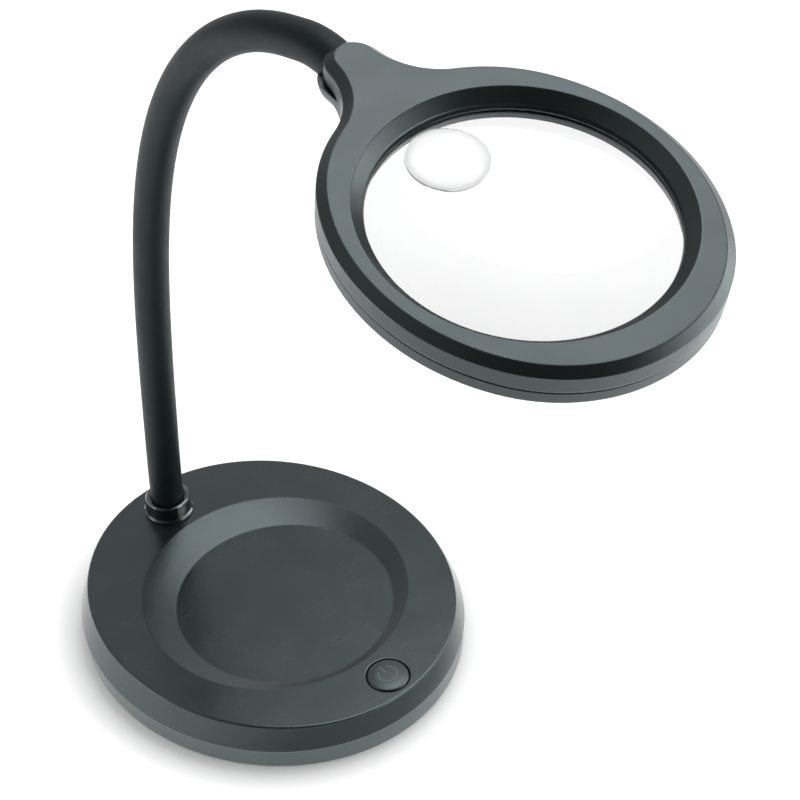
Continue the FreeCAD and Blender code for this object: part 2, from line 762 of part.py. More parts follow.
def battery_door():
    """The door in the underside, with two tabs that hook over the floor. Its own hinge edge is at 0."""
    made = body("battery_door")
    plate = sketch(made)
    side = "(bay_half_width - door_gap)"
    far = "-(bay_length - 2 * door_gap)"
    rectangle(plate, "-" + side, side, far, "0")
    pad(made, plate, "door_thickness")
    grips = sketch(made)
    for row in range(3):
        start = "%s + 6 + %d * 2.4" % (far, row)
        rectangle(grips, "-7", "7", start, start + " + 1.2")
    pocket(made, grips, "0.4", upward=True)
    roots = sketch(made, offset="door_thickness")
    hooks = sketch(made, offset="tray_floor + 0.1")
    for middle in ("-tab_x", "tab_x"):
        left, right = middle + " - tab_width / 2", middle + " + tab_width / 2"
        rectangle(roots, left, right, "-tab_root", "0")
        rectangle(hooks, left, right, "-tab_root", "tab_reach")
    pad(made, roots, "tray_floor - door_thickness + 0.1 + tab_thickness")
    pad(made, hooks, "tab_thickness")
    hinge_y = value(BAY_REAR + " - door_gap")
    made.Placement = Placement(Vector(0, hinge_y, value("base_underside")), Rotation())


# ---------------------------------------------------------------- switch


def power_button():
    """The cap: a shallow cup with a flange that keeps it in and a stem down to the plunger."""
    made = body("power_button")
    edge = "base_height + button_rise"
    inside = edge + " - button_wall"
    flange_top = "base_height - cover_wall - guide_depth - 0.3"
    stem_end = "board_height + board_thickness + switch_height + plunger_rise"
    profile = sketch(made, "XZ_Plane")
    polygon(
        profile,
        (
            ("0", stem_end),
            ("plunger_radius + 0.6", stem_end),
            ("plunger_radius + 0.6", inside),
            ("button_radius - button_wall", inside),
            ("button_radius - button_wall", flange_top + " - 1.2"),
            ("button_radius + button_flange", flange_top + " - 1.2"),
            ("button_radius + button_flange", flange_top),
            ("button_radius", flange_top),
            ("button_radius", edge + " - 0.5"),
            ("button_radius - 0.5", edge),
            ("button_radius * 0.66", edge + " + button_crown * 0.7"),
            ("button_radius * 0.33", edge + " + button_crown * 0.93"),
            ("0", edge + " + button_crown"),
        ),
    )
    spin(made, "Revolution", profile)
    made.Placement = Placement(Vector(0, -value("button_setback"), 0), Rotation())


def switch_plunger():
    """The plunger, which the cap presses into the switch."""
    made = body("switch_plunger")
    low = "board_height + board_thickness + switch_height"
    outline = sketch(made, offset=low + " - button_travel - 0.2")
    circle(outline, "0", "0", "plunger_radius")
    pad(made, outline, "plunger_rise + button_travel + 0.2")
    made.Placement = Placement(Vector(0, -value("button_setback"), 0), Rotation())


def push_switch():
    """The switch body on the board, with the well that its plunger sinks into."""
    made = body("push_switch")
    outline = sketch(made, offset="board_height + board_thickness")
    half = "switch_side / 2"
    rectangle(outline, "-" + half, half, "-" + half, half)
    pad(made, outline, "switch_height")
    well = sketch(made, offset="board_height + board_thickness + switch_height")
    circle(well, "0", "0", "plunger_radius + 0.3")
    pocket(made, well, "2 * button_travel + 0.4")
    made.Placement = Placement(Vector(0, -value("button_setback"), 0), Rotation())


def control_board():
    """The board under the button."""
    made = body("control_board")
    outline = sketch(made, offset="board_height")
    side = "board_width / 2"
    front = "-button_setback - board_depth / 2"
    rectangle(outline, "-" + side, side, front, "-button_setback + board_depth / 2")
    pad(made, outline, "board_thickness")


# ---------------------------------------------------------------- arm root


def arm_collar():
    """The turned glossy collar that stands on the base round the sleeve's lower end."""
    made = body("arm_collar")
    profile = sketch(made, "XZ_Plane")
    seat = "base_height + seat_floor"
    flange = "base_height + collar_flange"
    lip = "base_height + collar_height"
    polygon(
        profile,
        (
            ("stud_radius + stud_gap", "base_height"),
            ("collar_radius", "base_height"),
            ("collar_radius", flange + " - 0.6"),
            ("collar_radius - 0.6", flange),
            ("collar_neck", flange),
            ("collar_lip", lip + " - 1.2"),
            ("collar_lip + 0.2", lip + " - 0.7"),
            ("collar_lip - 0.1", lip + " - 0.15"),
            ("collar_lip - 0.6", lip),
            ("sleeve_radius + sleeve_gap", lip),
            ("sleeve_radius + sleeve_gap", seat),
            ("stud_radius + stud_gap", seat),
        ),
    )
    spin(made, "Revolution", profile)
    made.Placement = Placement(Vector(0, value("arm_setback"), 0), Rotation())


def foot_fitting():
    """The turned fitting: threaded stud, shoulder, spigot inside the sleeve, and the first ball."""
    made = body("foot_fitting")
    seat = "base_height + seat_floor"
    spigot = "%s + shoulder_height" % seat
    profile = sketch(made, "XZ_Plane")
    polygon(
        profile,
        (
            ("0", "base_height - stud_drop"),
            ("stud_radius - 0.5", "base_height - stud_drop"),
            ("stud_radius", "base_height - stud_drop + 0.5"),
            ("stud_radius", seat),
            ("shoulder_radius", seat),
            ("shoulder_radius", spigot),
            ("spigot_radius", spigot),
            ("spigot_radius", spigot + " + spigot_height - 1.5"),
            ("stem_radius", spigot + " + spigot_height"),
            ("stem_radius", "first_pivot"),
            ("0", "first_pivot"),
        ),
    )
    spin(made, "Revolution", profile)
    primitive(made, "AdditiveSphere", offset="first_pivot", Radius="ball_radius")
    primitive(made, "SubtractiveCylinder", Radius="core_bore", Height="first_pivot + ball_radius + 1")
    flare(made, "first_pivot")
    made.Placement = Placement(Vector(0, value("arm_setback"), 0), Rotation())


def foot_washer():
    """The washer under the clamp pad."""
    made = body("foot_washer")
    outline = sketch(made, offset="base_height - clamp_pad - washer_height")
    circle(outline, "0", "arm_setback", "washer_radius")
    circle(outline, "0", "arm_setback", "stud_radius + stud_gap")
    pad(made, outline, "washer_height")


def foot_nut():
    """The hexagonal nut that draws the fitting down."""
    made = body("foot_nut")
    outline = sketch(made, offset="base_height - clamp_pad - washer_height - nut_height")
    corner = "nut_width / 2 / 0.8660254"
    corners = []
    for step in range(6):
        angle = math.radians(60 * step + 30)
        x = "%s * %.6f" % (corner, math.cos(angle))
        corners.append((x, "arm_setback + %s * %.6f" % (corner, math.sin(angle))))
    polygon(outline, corners)
    circle(outline, "0", "arm_setback", "stud_radius + stud_gap")
    pad(made, outline, "nut_height")


# ---------------------------------------------------------------- gooseneck


def about_x(angle):
    """A turn about X, in degrees."""
    return Rotation(Vector(1, 0, 0), angle)


def arm_angle(index):
    """Direction of the arm after a flexing point, in degrees from upright towards the user."""
    lean = value("lean")
    whole = 90 + value("head_tilt") - lean
    return lean + whole * (index / PIVOTS) ** value("bend_growth")


def pivots():
    """The flexing points, from the foot to the head."""
    place = Vector(0, value("arm_setback"), value("first_pivot"))
    places = [place]
    for index in range(1, PIVOTS):
        along = about_x(arm_angle(index)).multVec(Vector(0, 0, value("link_length")))
        place = place + along
        places.append(place)
    return places


def head_placement():
    """Where the head's own frame lies: ring centre on the top face, +Y towards the neck."""
    twist = Rotation(Vector(0, 1, 0), value("head_twist"))
    yaw = Rotation(Vector(0, 0, 1), -value("head_yaw"))
    turn = about_x(value("head_tilt")) * twist * yaw
    axis = Vector(0, value(NECK_PIVOT), -value("head_parting"))
    return Placement(pivots()[-1] - turn.multVec(axis), turn)


def socket(made, offset, mouth_offset):
    """Hollows a ball-and-socket cup round a flexing point and cuts its mouth."""
    primitive(made, "SubtractiveSphere", offset=offset, Radius="ball_radius + ball_gap")
    primitive(
        made,
        "SubtractiveCylinder",
        offset=mouth_offset,
        Radius="socket_radius + 1",
        Height="socket_radius + 1 - socket_mouth",
    )


def flare(made, offset):
    """Widens the wire's passage from a ball's centre to its top, so that the wire can turn there."""
    primitive(
        made,
        "SubtractiveCone",
        offset=offset,
        Radius1="core_bore",
        Radius2="core_bore + bore_flare",
        Height="ball_radius",
    )


def neck_link(number):
    """One link of the core: a socket round the ball below it, a stem, and its own ball."""
    made = body("neck_link_%02d" % number)
    primitive(made, "AdditiveSphere", Radius="socket_radius")
    profile = sketch(made, "XZ_Plane")
    polygon(
        profile,
        (
            ("0", "socket_radius * 0.5"),
            ("socket_radius * 0.86", "socket_radius * 0.5"),
            ("stem_radius", "socket_radius * 1.36 - stem_radius + socket_radius * 0.5"),
            ("stem_radius", "link_length"),
            ("0", "link_length"),
        ),
    )
    spin(made, "Revolution", profile)
    primitive(made, "AdditiveSphere", offset="link_length", Radius="ball_radius")
    socket(made, "0", "-socket_radius - 1")
    primitive(made, "SubtractiveCylinder", Radius="core_bore", Height="link_length + socket_radius")
    flare(made, "link_length")
    made.Placement = Placement(pivots()[number - 1], about_x(arm_angle(number)))


def eased_path(corners, reaches):
    """A wire through corners that turns each inner corner along an arc of the given reach."""
    edges = []
    start = corners[0]
    for index in range(1, len(corners) - 1):
        corner = corners[index]
        before = (corner - corners[index - 1]).normalize()
        after = (corners[index + 1] - corner).normalize()
        turn = before.getAngle(after)
        reach = reaches(index, turn)
        enter = corner - before * reach
        leave = corner + after * reach
        middle = corner + (after - before).normalize() * (reach * math.tan(turn / 4))
        if (enter - start).Length > 1e-6:
            edges.append(Part.makeLine(start, enter))
        edges.append(Part.Arc(enter, middle, leave).toShape())
        start = leave
    edges.append(Part.makeLine(start, corners[-1]))
    return Part.Wire(edges)


def swept(label, wire, outer, inner=0.0):
    """A round rod or tube along a wire that starts straight up. Its shape is set from the sheet."""
    start = wire.Vertexes[0].Point
    rings = [Part.Wire(Part.makeCircle(outer, start, Vector(0, 0, 1)))]
    solid = wire.makePipeShell(rings, True, True)
    if inner:
        rings = [Part.Wire(Part.makeCircle(inner, start, Vector(0, 0, 1)))]
        solid = solid.cut(wire.makePipeShell(rings, True, True))
    made = doc.addObject("Part::Feature", label)
    made.Label = label
    made.Shape = solid.Solids[0] if solid.Solids else solid
    parts.append(made)


def neck_sleeve():
    """The rubber sleeve over the whole core, one smooth tube from the collar into the neck."""
    half = value("link_length") / 2
    ends = value("end_ease")
    start = Vector(0, value("arm_setback"), value("base_height + seat_floor + shoulder_height + 0.2"))
    axis = Vector(0, value(SLEEVE_STOP) + 0.1, -value("head_parting"))
    corners = [start] + pivots() + [head_placement().multVec(axis)]
    wire = eased_path(corners, lambda index, turn: ends if index in (1, PIVOTS) else half * 0.98)
    swept("neck_sleeve", wire, value("sleeve_radius"), value("sleeve_bore"))


def lamp_wire():
    """The lamp's wire through the core, from the base to the light's chamber."""
    start = Vector(0, value("arm_setback"), value("base_height - stud_drop - 1"))
    axis = Vector(0, value(CHAMBER_END) - 1, -value("head_parting"))
    corners = [start] + pivots() + [head_placement().multVec(axis)]
    radius = value("wire_bend")
    wire = eased_path(corners, lambda index, turn: max(radius * math.tan(turn / 2), 0.05))
    swept("lamp_wire", wire, value("wire_radius"))


# ---------------------------------------------------------------- head


LENGTHENING = "(ring_half_depth - ring_half_width)"
RING_END = "(%s * (2 * ring_side - %s) / (2 * (ring_side - %s)))" % ((LENGTHENING,) * 3)


def ring_arcs(inset):
    """Radius of the ring's side arcs and of its end arcs, set in by an amount."""
    side = "ring_half_width + ring_side - (%s)" % inset
    end = "ring_half_depth - %s - (%s)" % (RING_END, inset)
    return side, end


def arc(drawing, x, y, size, begin, finish):
    """An arc from one angle to another, anticlockwise."""
    edge = Part.Circle(Vector(x, y, 0), Vector(0, 0, 1), size)
    return drawing.addGeometry(Part.ArcOfCircle(edge, begin, finish), False)


def chained(drawing, arcs):
    """Makes each arc meet the next one smoothly. Each is an index and the end that it is left by."""
    count = len(arcs)
    for index in range(count):
        edge, leave = arcs[index]
        after, its_leave = arcs[(index + 1) % count]
        enter = 3 - its_leave
        drawing.addConstraint(Sketcher.Constraint("Tangent", edge, leave, after, enter))


def ring_oval(drawing, inset):
    """The ring's outline alone: two side arcs and two end arcs."""
    side, end = ring_arcs(inset)
    side_x, end_y = value("ring_side"), value(RING_END)
    corner = math.atan2(end_y, side_x)
    right = arc(drawing, -side_x, 0, value(side), -corner, corner)
    top = arc(drawing, 0, end_y, value(end), corner, math.pi - corner)
    left = arc(drawing, side_x, 0, value(side), math.pi - corner, math.pi + corner)
    low = arc(drawing, 0, -end_y, value(end), math.pi + corner, 2 * math.pi - corner)
    fix(drawing, right, 3, ("-ring_side", "0"))
    fix(drawing, left, 3, ("ring_side", "0"))
    fix(drawing, top, 3, ("0", RING_END))
    level(drawing, low, 3, "-" + RING_END)
    measure(drawing, "Radius", right, side)
    chained(drawing, ((right, 2), (top, 2), (left, 2), (low, 2)))


def head_outline(drawing, inset):
    """The outline of ring and neck: the oval ring, hollow sweeps and the neck's rounded end."""
    side, end = ring_arcs(inset)
    neck, sweep = "neck_radius - (%s)" % inset, "neck_sweep + (%s)" % inset
    side_x, end_y, neck_y = value("ring_side"), value(RING_END), value(NECK_CENTRE)
    side_size, end_size, neck_size, sweep_size = (value(text) for text in (side, end, neck, sweep))
    span = neck_y - end_y
    far, near = end_size + sweep_size, neck_size + sweep_size
    y = (far * far - near * near + span * span) / (2 * span)
    x = math.sqrt(far * far - y * y)
    join, tip = math.atan2(y, x), math.atan2(y - span, x)
    corner = math.atan2(end_y, side_x)

    right = arc(drawing, -side_x, 0, side_size, -corner, corner)
    right_end = arc(drawing, 0, end_y, end_size, corner, join)
    right_sweep = arc(drawing, x, y + end_y, sweep_size, math.pi + tip, math.pi + join)
    neck_end = arc(drawing, 0, neck_y, neck_size, tip, math.pi - tip)
    left_sweep = arc(drawing, -x, y + end_y, sweep_size, -join, -tip)
    left_end = arc(drawing, 0, end_y, end_size, math.pi - join, math.pi - corner)
    left = arc(drawing, side_x, 0, side_size, math.pi - corner, math.pi + corner)
    low = arc(drawing, 0, -end_y, end_size, math.pi + corner, 2 * math.pi - corner)

    fix(drawing, right, 3, ("-ring_side", "0"))
    fix(drawing, left, 3, ("ring_side", "0"))
    fix(drawing, right_end, 3, ("0", RING_END))
    fix(drawing, left_end, 3, ("0", RING_END))
    fix(drawing, low, 3, ("0", "-" + RING_END))
    fix(drawing, neck_end, 3, ("0", NECK_CENTRE))
    for index, size in ((right, side), (neck_end, neck), (right_sweep, sweep), (left_sweep, sweep)):
        measure(drawing, "Radius", index, size)
    forward, backward = 2, 1
    chained(
        drawing,
        (
            (right, forward),
            (right_end, forward),
            (right_sweep, backward),
            (neck_end, forward),
            (left_sweep, backward),
            (left_end, forward),
            (left, forward),
            (low, forward),
        ),
    )


def head_screw_places():
    """The five screws round the ring, then the two in the neck."""
    places = []
    for angle in (270, 210, 330, 150, 30):
        x = "(ring_half_width - screw_in) * %.6f" % math.cos(math.radians(angle))
        y = "(ring_half_depth - screw_in) * %.6f" % math.sin(math.radians(angle))
        places.append((x, y))
    neck_y = "ring_half_depth + neck_screw_out"
    return places + [("neck_screw_x", neck_y), ("-neck_screw_x", neck_y)]


HEAD_SCREWS = head_screw_places()
PART_LINE = "-head_parting"
SEAT_RISE = "(lens_radius * lens_radius - lens_opening * lens_opening) / (2 * lens_curve)"


def neck_bores(made):
    """Hollows both shells round the gooseneck's axis: sleeve, fitting, its flange and the wire."""
    profile = sketch(made, "XY_Plane", PART_LINE)
    gap = " + fit_gap"
    polygon(
        profile,
        (
            ("0", CHAMBER_END + " - 1"),
            ("core_bore + 0.3", CHAMBER_END + " - 1"),
            ("core_bore + 0.3", SHANK_END + " - fit_gap"),
            ("shank_radius" + gap, SHANK_END + " - fit_gap"),
            ("shank_radius" + gap, FLANGE_START + " - fit_gap"),
            ("shank_flange" + gap, FLANGE_START + " - fit_gap"),
            ("shank_flange" + gap, FLANGE_START + " + flange_width" + gap),
            ("shank_radius" + gap, FLANGE_START + " + flange_width" + gap),
            ("shank_radius" + gap, SLEEVE_STOP),
            ("sleeve_radius + sleeve_gap", SLEEVE_STOP),
            ("sleeve_radius + sleeve_gap", NECK_CENTRE + " + neck_radius + 2"),
            ("0", NECK_CENTRE + " + neck_radius + 2"),
        ),
    )
    spin(made, "Groove", profile)


def ring_channel(made, offset, depth, upward):
    """The hollow between the lens's wall and the outside, with the light's chamber beside it."""
    channel = sketch(made, offset=offset)
    ring_oval(channel, "shell_wall")
    circle(channel, "0", "0", WALL_RADIUS)
    pocket(made, channel, depth, upward=upward)
    chamber = sketch(made, offset=offset)
    half = "(light_width / 2 + 0.6)"
    rectangle(chamber, "-" + half, half, WALL_RADIUS + " + 0.2", CHAMBER_END)
    pocket(made, chamber, depth, upward=upward)


def head_top_shell():
    """The upper shell: bevelled top face with the lens's eye, its seat, and half of the neck."""
    made = body("head_top_shell")
    outline = sketch(made, offset=PART_LINE)
    head_outline(outline, "0")
    pad(made, outline, "head_parting")
    top_edges = edges_where(made, lambda e: at_height(e, 0))
    bevel(made, top_edges[:1], "ring_bevel", "bevel_drop")

    eye = sketch(made, "XZ_Plane")
    polygon(
        eye,
        (
            ("0", "1"),
            ("eye_radius", "1"),
            ("eye_radius", "0"),
            ("eye_radius - eye_bevel", "-eye_bevel_drop"),
            ("lens_opening", "-lens_depth + lens_play + " + SEAT_RISE),
            (SEAT_RADIUS, "-lens_depth + lens_play"),
            (SEAT_RADIUS, "-head_parting - 1"),
            ("0", "-head_parting - 1"),
        ),
    )
    spin(made, "Groove", eye)
    ring_channel(made, PART_LINE, "head_parting - shell_wall", True)
    bosses = sketch(made, offset=PART_LINE)
    circles(bosses, HEAD_SCREWS[:5], "head_boss")
    pad(made, bosses, "head_parting - shell_wall / 2")
    neck_bores(made)
    pilots = sketch(made, offset=PART_LINE)
    circles(pilots, HEAD_SCREWS, "head_screw + screw_gap")
    pocket(made, pilots, "head_parting - shell_wall", upward=True)


def head_bottom_shell():
    """The lower shell: floor, lens ledge, screw pillars, light window and the neck's belly."""
    made = body("head_bottom_shell")
    below = "-head_parting - groove_height"
    lower = sketch(made, offset="-head_thickness")
    head_outline(lower, "shell_step")
    pad(made, lower, "head_thickness - head_parting - groove_height")
    underside = -value("head_thickness")
    rims = edges_where(made, lambda e: at_height(e, underside))
    bevel(made, rims[:1], "under_bevel", "under_bevel_drop")
    upper = sketch(made, offset=below)
    head_outline(upper, "shell_step + groove_depth")
    pad(made, upper, "groove_height")
    neck_belly(made)

    eye = sketch(made, "XZ_Plane")
    polygon(
        eye,
        (
            ("0", "-head_parting + 1"),
            (SEAT_RADIUS, "-head_parting + 1"),
            (SEAT_RADIUS, "-lens_depth - lens_edge - lens_play"),
            ("lens_opening", "-lens_depth - lens_edge - lens_play - " + SEAT_RISE),
            ("lens_opening", "-head_thickness + 0.8"),
            ("lens_opening + 0.8", "-head_thickness"),
            ("lens_opening + 0.8", "-head_thickness - 3"),
            ("0", "-head_thickness - 3"),
        ),
    )
    spin(made, "Groove", eye)
    ring_channel(made, PART_LINE, "head_thickness - head_parting - shell_floor", False)
    pillars = sketch(made, offset="-head_thickness + shell_floor / 2")
    circles(pillars, HEAD_SCREWS[:5], "head_boss")
    pad(made, pillars, "head_thickness - head_parting - shell_floor / 2")
    neck_bores(made)
    light_opening(made)

    shanks = sketch(made, offset=PART_LINE)
    circles(shanks, HEAD_SCREWS, "head_screw + 0.25")
    pocket(made, shanks, "head_thickness - head_parting + 8")
    wells = sketch(made, offset="-head_thickness - 8")
    circles(wells, HEAD_SCREWS, "head_well")
    pocket(made, wells, "head_well_depth + 8", upward=True)


def neck_belly(made):
    """The rounded underside of the neck, half a turned shape about the gooseneck's axis."""
    before = solid_volume(made)
    profile = sketch(made, "XY_Plane", PART_LINE)
    end = NECK_CENTRE + " + neck_radius - shell_step"
    flush = "(head_thickness - head_parting)"
    corners = (
        ("0", BELLY_START),
        (flush, BELLY_START),
        ("belly_radius", BELLY_FULL),
        ("belly_radius", end + " - belly_round"),
        ("belly_radius - belly_round", end),
        ("0", end),
    )
    points = [Vector(value(x), value(y), 0) for x, y in corners]
    for index in (0, 1, 2):
        profile.addGeometry(Part.LineSegment(points[index], points[index + 1]), False)
    round_x, round_y = "belly_radius - belly_round", end + " - belly_round"
    bend = arc(profile, value(round_x), value(round_y), value("belly_round"), 0, math.pi / 2)
    for index in (4, 5):
        profile.addGeometry(Part.LineSegment(points[index], points[(index + 1) % 6]), False)
    for index in range(6):
        after = (index + 1) % 6
        profile.addConstraint(Sketcher.Constraint("Coincident", index, 2, after, 1))
        fix(profile, index, 1, corners[index])
    measure(profile, "Radius", bend, "belly_round")
    half_turn = feature(made, "Revolution", profile)
    half_turn.ReferenceAxis = (profile, ["V_Axis"])
    half_turn.Angle = 180
    settle(made, before, True)
    if made.Shape.BoundBox.ZMin > -value("head_thickness + 2"):
        half_turn.Reversed = True
        doc.recompute()
    neck_groove(made)


def neck_groove(made):
    """The shadow groove carried on round the belly's end."""
    ring = sketch(made, offset=PART_LINE)
    far = "(belly_radius + 2)"
    rectangle(ring, "-" + far, far, BELLY_FULL, "%s + %s" % (NECK_CENTRE, far))
    inner = "(neck_radius - shell_step - groove_depth)"
    corners = [(inner, BELLY_FULL + " + 0.1"), ("-" + inner, BELLY_FULL + " + 0.1")]
    for step in range(13):
        angle = math.radians(180 - 15 * step)
        x = "%s * %.6f" % (inner, math.cos(angle))
        corners.append((x, "%s + %s * %.6f" % (NECK_CENTRE, inner, math.sin(angle))))
    polygon(ring, corners)
    pocket(made, ring, "groove_height")


def light_opening(made):
    """The opening under the LEDs, with a ledge that the window rests on."""
    front, rear = LIGHT_Y + " - light_depth / 2", LIGHT_Y + " + light_depth / 2"
    window = sketch(made, offset="-head_thickness")
    side = "(light_width / 2)"
    rectangle(window, "-" + side, side, front, rear)
    pocket(made, window, "window_thickness", upward=True)
    inner = sketch(made, offset="-head_thickness")
    side = "(light_width / 2 - window_ledge)"
    rectangle(inner, "-" + side, side, front + " + window_ledge", rear + " - window_ledge")
    pocket(made, inner, "shell_floor + 1", upward=True)


def led_window():
    """The clear window under the LEDs."""
    made = body("led_window")
    outline = sketch(made, offset="-head_thickness")
    side = "(light_width / 2 - 0.1)"
    front, rear = LIGHT_Y + " - light_depth / 2 + 0.1", LIGHT_Y + " + light_depth / 2 - 0.1"
    rectangle(outline, "-" + side, side, front, rear)
    pad(made, outline, "window_thickness")


def led_board():
    """The narrow board across the light's chamber."""
    made = body("led_board")
    outline = sketch(made, offset="-head_parting - wire_radius - 0.1 - led_board_thickness")
    side = "(light_width / 2)"
    rectangle(outline, "-" + side, side, LIGHT_Y + " - 3.4", LIGHT_Y + " + 3.4")
    pad(made, outline, "led_board_thickness")


def leds():
    """Two LEDs under their board."""
    made = body("leds")
    made.AllowCompound = True
    low = "-head_parting - wire_radius - 0.1 - led_board_thickness"
    outline = sketch(made, offset=low)
    for x in ("-led_x", "led_x"):
        circle(outline, x, LIGHT_Y, "led_radius")
    pad(made, outline, "led_height", downward=True)
    bottom = value(low + " - led_height")
    round_off(made, edges_where(made, lambda e: at_height(e, bottom)), "led_radius * 0.8")


def head_screws():
    """Seven small screws that hold the shells together from below."""
    made = body("head_screws")
    made.AllowCompound = True
    seat = "-head_thickness + head_well_depth"
    shanks = sketch(made, offset=seat)
    circles(shanks, HEAD_SCREWS, "head_screw")
    pad(made, shanks, "head_screw_length")
    heads = sketch(made, offset=seat)
    circles(heads, HEAD_SCREWS, "head_screw_cap")
    pad(made, heads, "head_cap_height", downward=True)
    drives = sketch(made, offset="%s - head_cap_height" % seat)
    for x, y in HEAD_SCREWS:
        cross(drives, x, y, "1.1", "0.25")
    pocket(made, drives, "0.6", upward=True)


def head_fitting():
    """The turned fitting in the neck: shank, locking flange and the last socket."""
    made = body("head_fitting")
    profile = sketch(made, "XY_Plane", PART_LINE)
    polygon(
        profile,
        (
            ("0", SHANK_END),
            ("shank_radius", SHANK_END),
            ("shank_radius", FLANGE_START),
            ("shank_flange", FLANGE_START),
            ("shank_flange", FLANGE_START + " + flange_width"),
            ("shank_radius", FLANGE_START + " + flange_width"),
            ("shank_radius", NECK_PIVOT),
            ("0", NECK_PIVOT),
        ),
    )
    spin(made, "Revolution", profile)
    along_neck(made, "AdditiveSphere", NECK_PIVOT, Radius="socket_radius")
    along_neck(made, "SubtractiveSphere", NECK_PIVOT, Radius="ball_radius + ball_gap")
    mouth = NECK_PIVOT + " + socket_mouth"
    along_neck(made, "SubtractiveCylinder", mouth, Radius="socket_radius + 1", Height="socket_radius")
    bore = "%s - %s" % (NECK_PIVOT, SHANK_END)
    along_neck(made, "SubtractiveCylinder", SHANK_END + " - 1", Radius="core_bore", Height=bore)


def along_neck(made, kind, along, **sizes):
    """A primitive on the gooseneck's axis in the head, starting at a distance from the ring's centre."""
    before = solid_volume(made)
    shape = made.newObject("PartDesign::" + kind, kind)
    attach(shape, made, "XZ_Plane", "-(%s)" % along)
    shape.AttachmentOffset = Placement(Vector(0, 0, 0), Rotation(Vector(1, 0, 0), 180))
    bind(shape, "AttachmentOffset.Base.y", "-head_parting")
    bind(shape, "AttachmentOffset.Base.z", "-(%s)" % along)
    for name, text in sizes.items():
        bind(shape, name, text)
    settle(made, before, kind.startswith("Additive"))


# ---------------------------------------------------------------- lenses


def primitive_shape(kind, name, place, **sizes):
    """A Part primitive with its sizes bound to the sheet."""
    made = doc.addObject("Part::" + kind, name)
    for size, text in sizes.items():
        bind(made, size, text)
    made.Placement = place
    return made


def lens_faces():
    """Heights of the centres of the main lens's upper and lower faces."""
    curve, edge = value("lens_curve"), value("lens_radius")
    drop = math.sqrt(curve * curve - edge * edge)
    upper = -value("lens_depth") - drop
    lower = -value("lens_depth + lens_edge") + drop
    return upper, lower


def main_lens():
    """The biconvex lens: what two large balls and an upright rod have in common."""
    upper, lower = lens_faces()
    top = primitive_shape("Sphere", "LensTop", lens_point(upper), Radius="lens_curve")
    bottom = primitive_shape("Sphere", "LensBase", lens_point(lower), Radius="lens_curve")
    start = value("-lens_depth - lens_edge - lens_radius / 2")
    length = "lens_edge + lens_radius"
    rod = primitive_shape("Cylinder", "LensRod", lens_point(start), Radius="lens_radius", Height=length)
    common("main_lens", [top, bottom, rod])


def lens_point(height):
    """A place on the lens's axis."""
    return Placement(Vector(0, 0, height), Rotation())


def common(label, pieces, less=None):
    """What the pieces have in common, less another piece, as a finished sub-part."""
    made = doc.addObject("Part::MultiCommon", label + "_common" if less else label)
    made.Shapes = pieces
    if less:
        whole = made
        made = doc.addObject("Part::Cut", label)
        made.Base = whole
        made.Tool = less
    made.Label = label
    made.Placement = head_placement()
    parts.append(made)
    doc.recompute()


def spot_lens():
    """The strong small lens under the main one, set square to the main lens's lower face."""
    _, lower = lens_faces()
    curve = value("lens_curve")
    angle = math.degrees(math.asin(value("spot_shift") / curve))
    turn = about_x(angle)
    centre = Vector(0, 0, lower)
    sag = value("spot_curve") - math.sqrt(value("spot_curve") ** 2 - value("spot_radius") ** 2)
    along = curve + value("spot_edge") + sag - value("spot_curve")
    face = centre + turn.multVec(Vector(0, 0, -along))
    start = centre + turn.multVec(Vector(0, 0, -(curve + value("spot_radius"))))
    big = primitive_shape("Sphere", "SpotSeat", Placement(centre, Rotation()), Radius="lens_curve")
    bump = primitive_shape("Sphere", "SpotFace", Placement(face, Rotation()), Radius="spot_curve")
    place = Placement(start, turn)
    rod = primitive_shape("Cylinder", "SpotRod", place, Radius="spot_radius", Height="2 * spot_radius")
    common("spot_lens", [bump, rod], big)


# ---------------------------------------------------------------- all together


def build_base():
    base_top_cover()
    base_bottom_cover()
    ballast_plate()
    base_screws()
    foot_ring()
    battery_cell(1, -1, False)
    battery_cell(2, 0, True)
    battery_cell(3, 1, False)
    contact_plates()
    contact_springs()
    battery_door()
    power_button()
    switch_plunger()
    push_switch()
    control_board()


def build_arm():
    arm_collar()
    foot_fitting()
    foot_washer()
    foot_nut()
    for number in range(1, PIVOTS):
        neck_link(number)
    neck_sleeve()
    lamp_wire()


def build_head():
    pieces = (head_top_shell, head_bottom_shell, head_fitting, led_board, leds, led_window, head_screws)
    first = len(parts)
    for piece in pieces:
        piece()
    for made in parts[first:]:
        made.Placement = head_placement()
    main_lens()
    spot_lens()


def save_parts():
    """Checks every object and writes each sub-part to its own file."""
    doc.recompute()
    for thing in doc.Objects:
        if "Invalid" in thing.State or "Error" in thing.State:
            raise RuntimeError("%s did not build: %s" % (thing.Label, thing.State))
    os.makedirs("parts", exist_ok=True)
    for made in parts:
        shape = made.Shape
        if shape.isNull() or not shape.isValid() or not shape.Solids:
            raise RuntimeError("%s has no sound solid" % made.Label)
        shape.exportStep("parts/%s.step" % made.Label)


build_base()
build_arm()
build_head()
save_parts()
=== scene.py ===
import json
import math

import bmesh
import bpy
from mathutils import Matrix, Vector


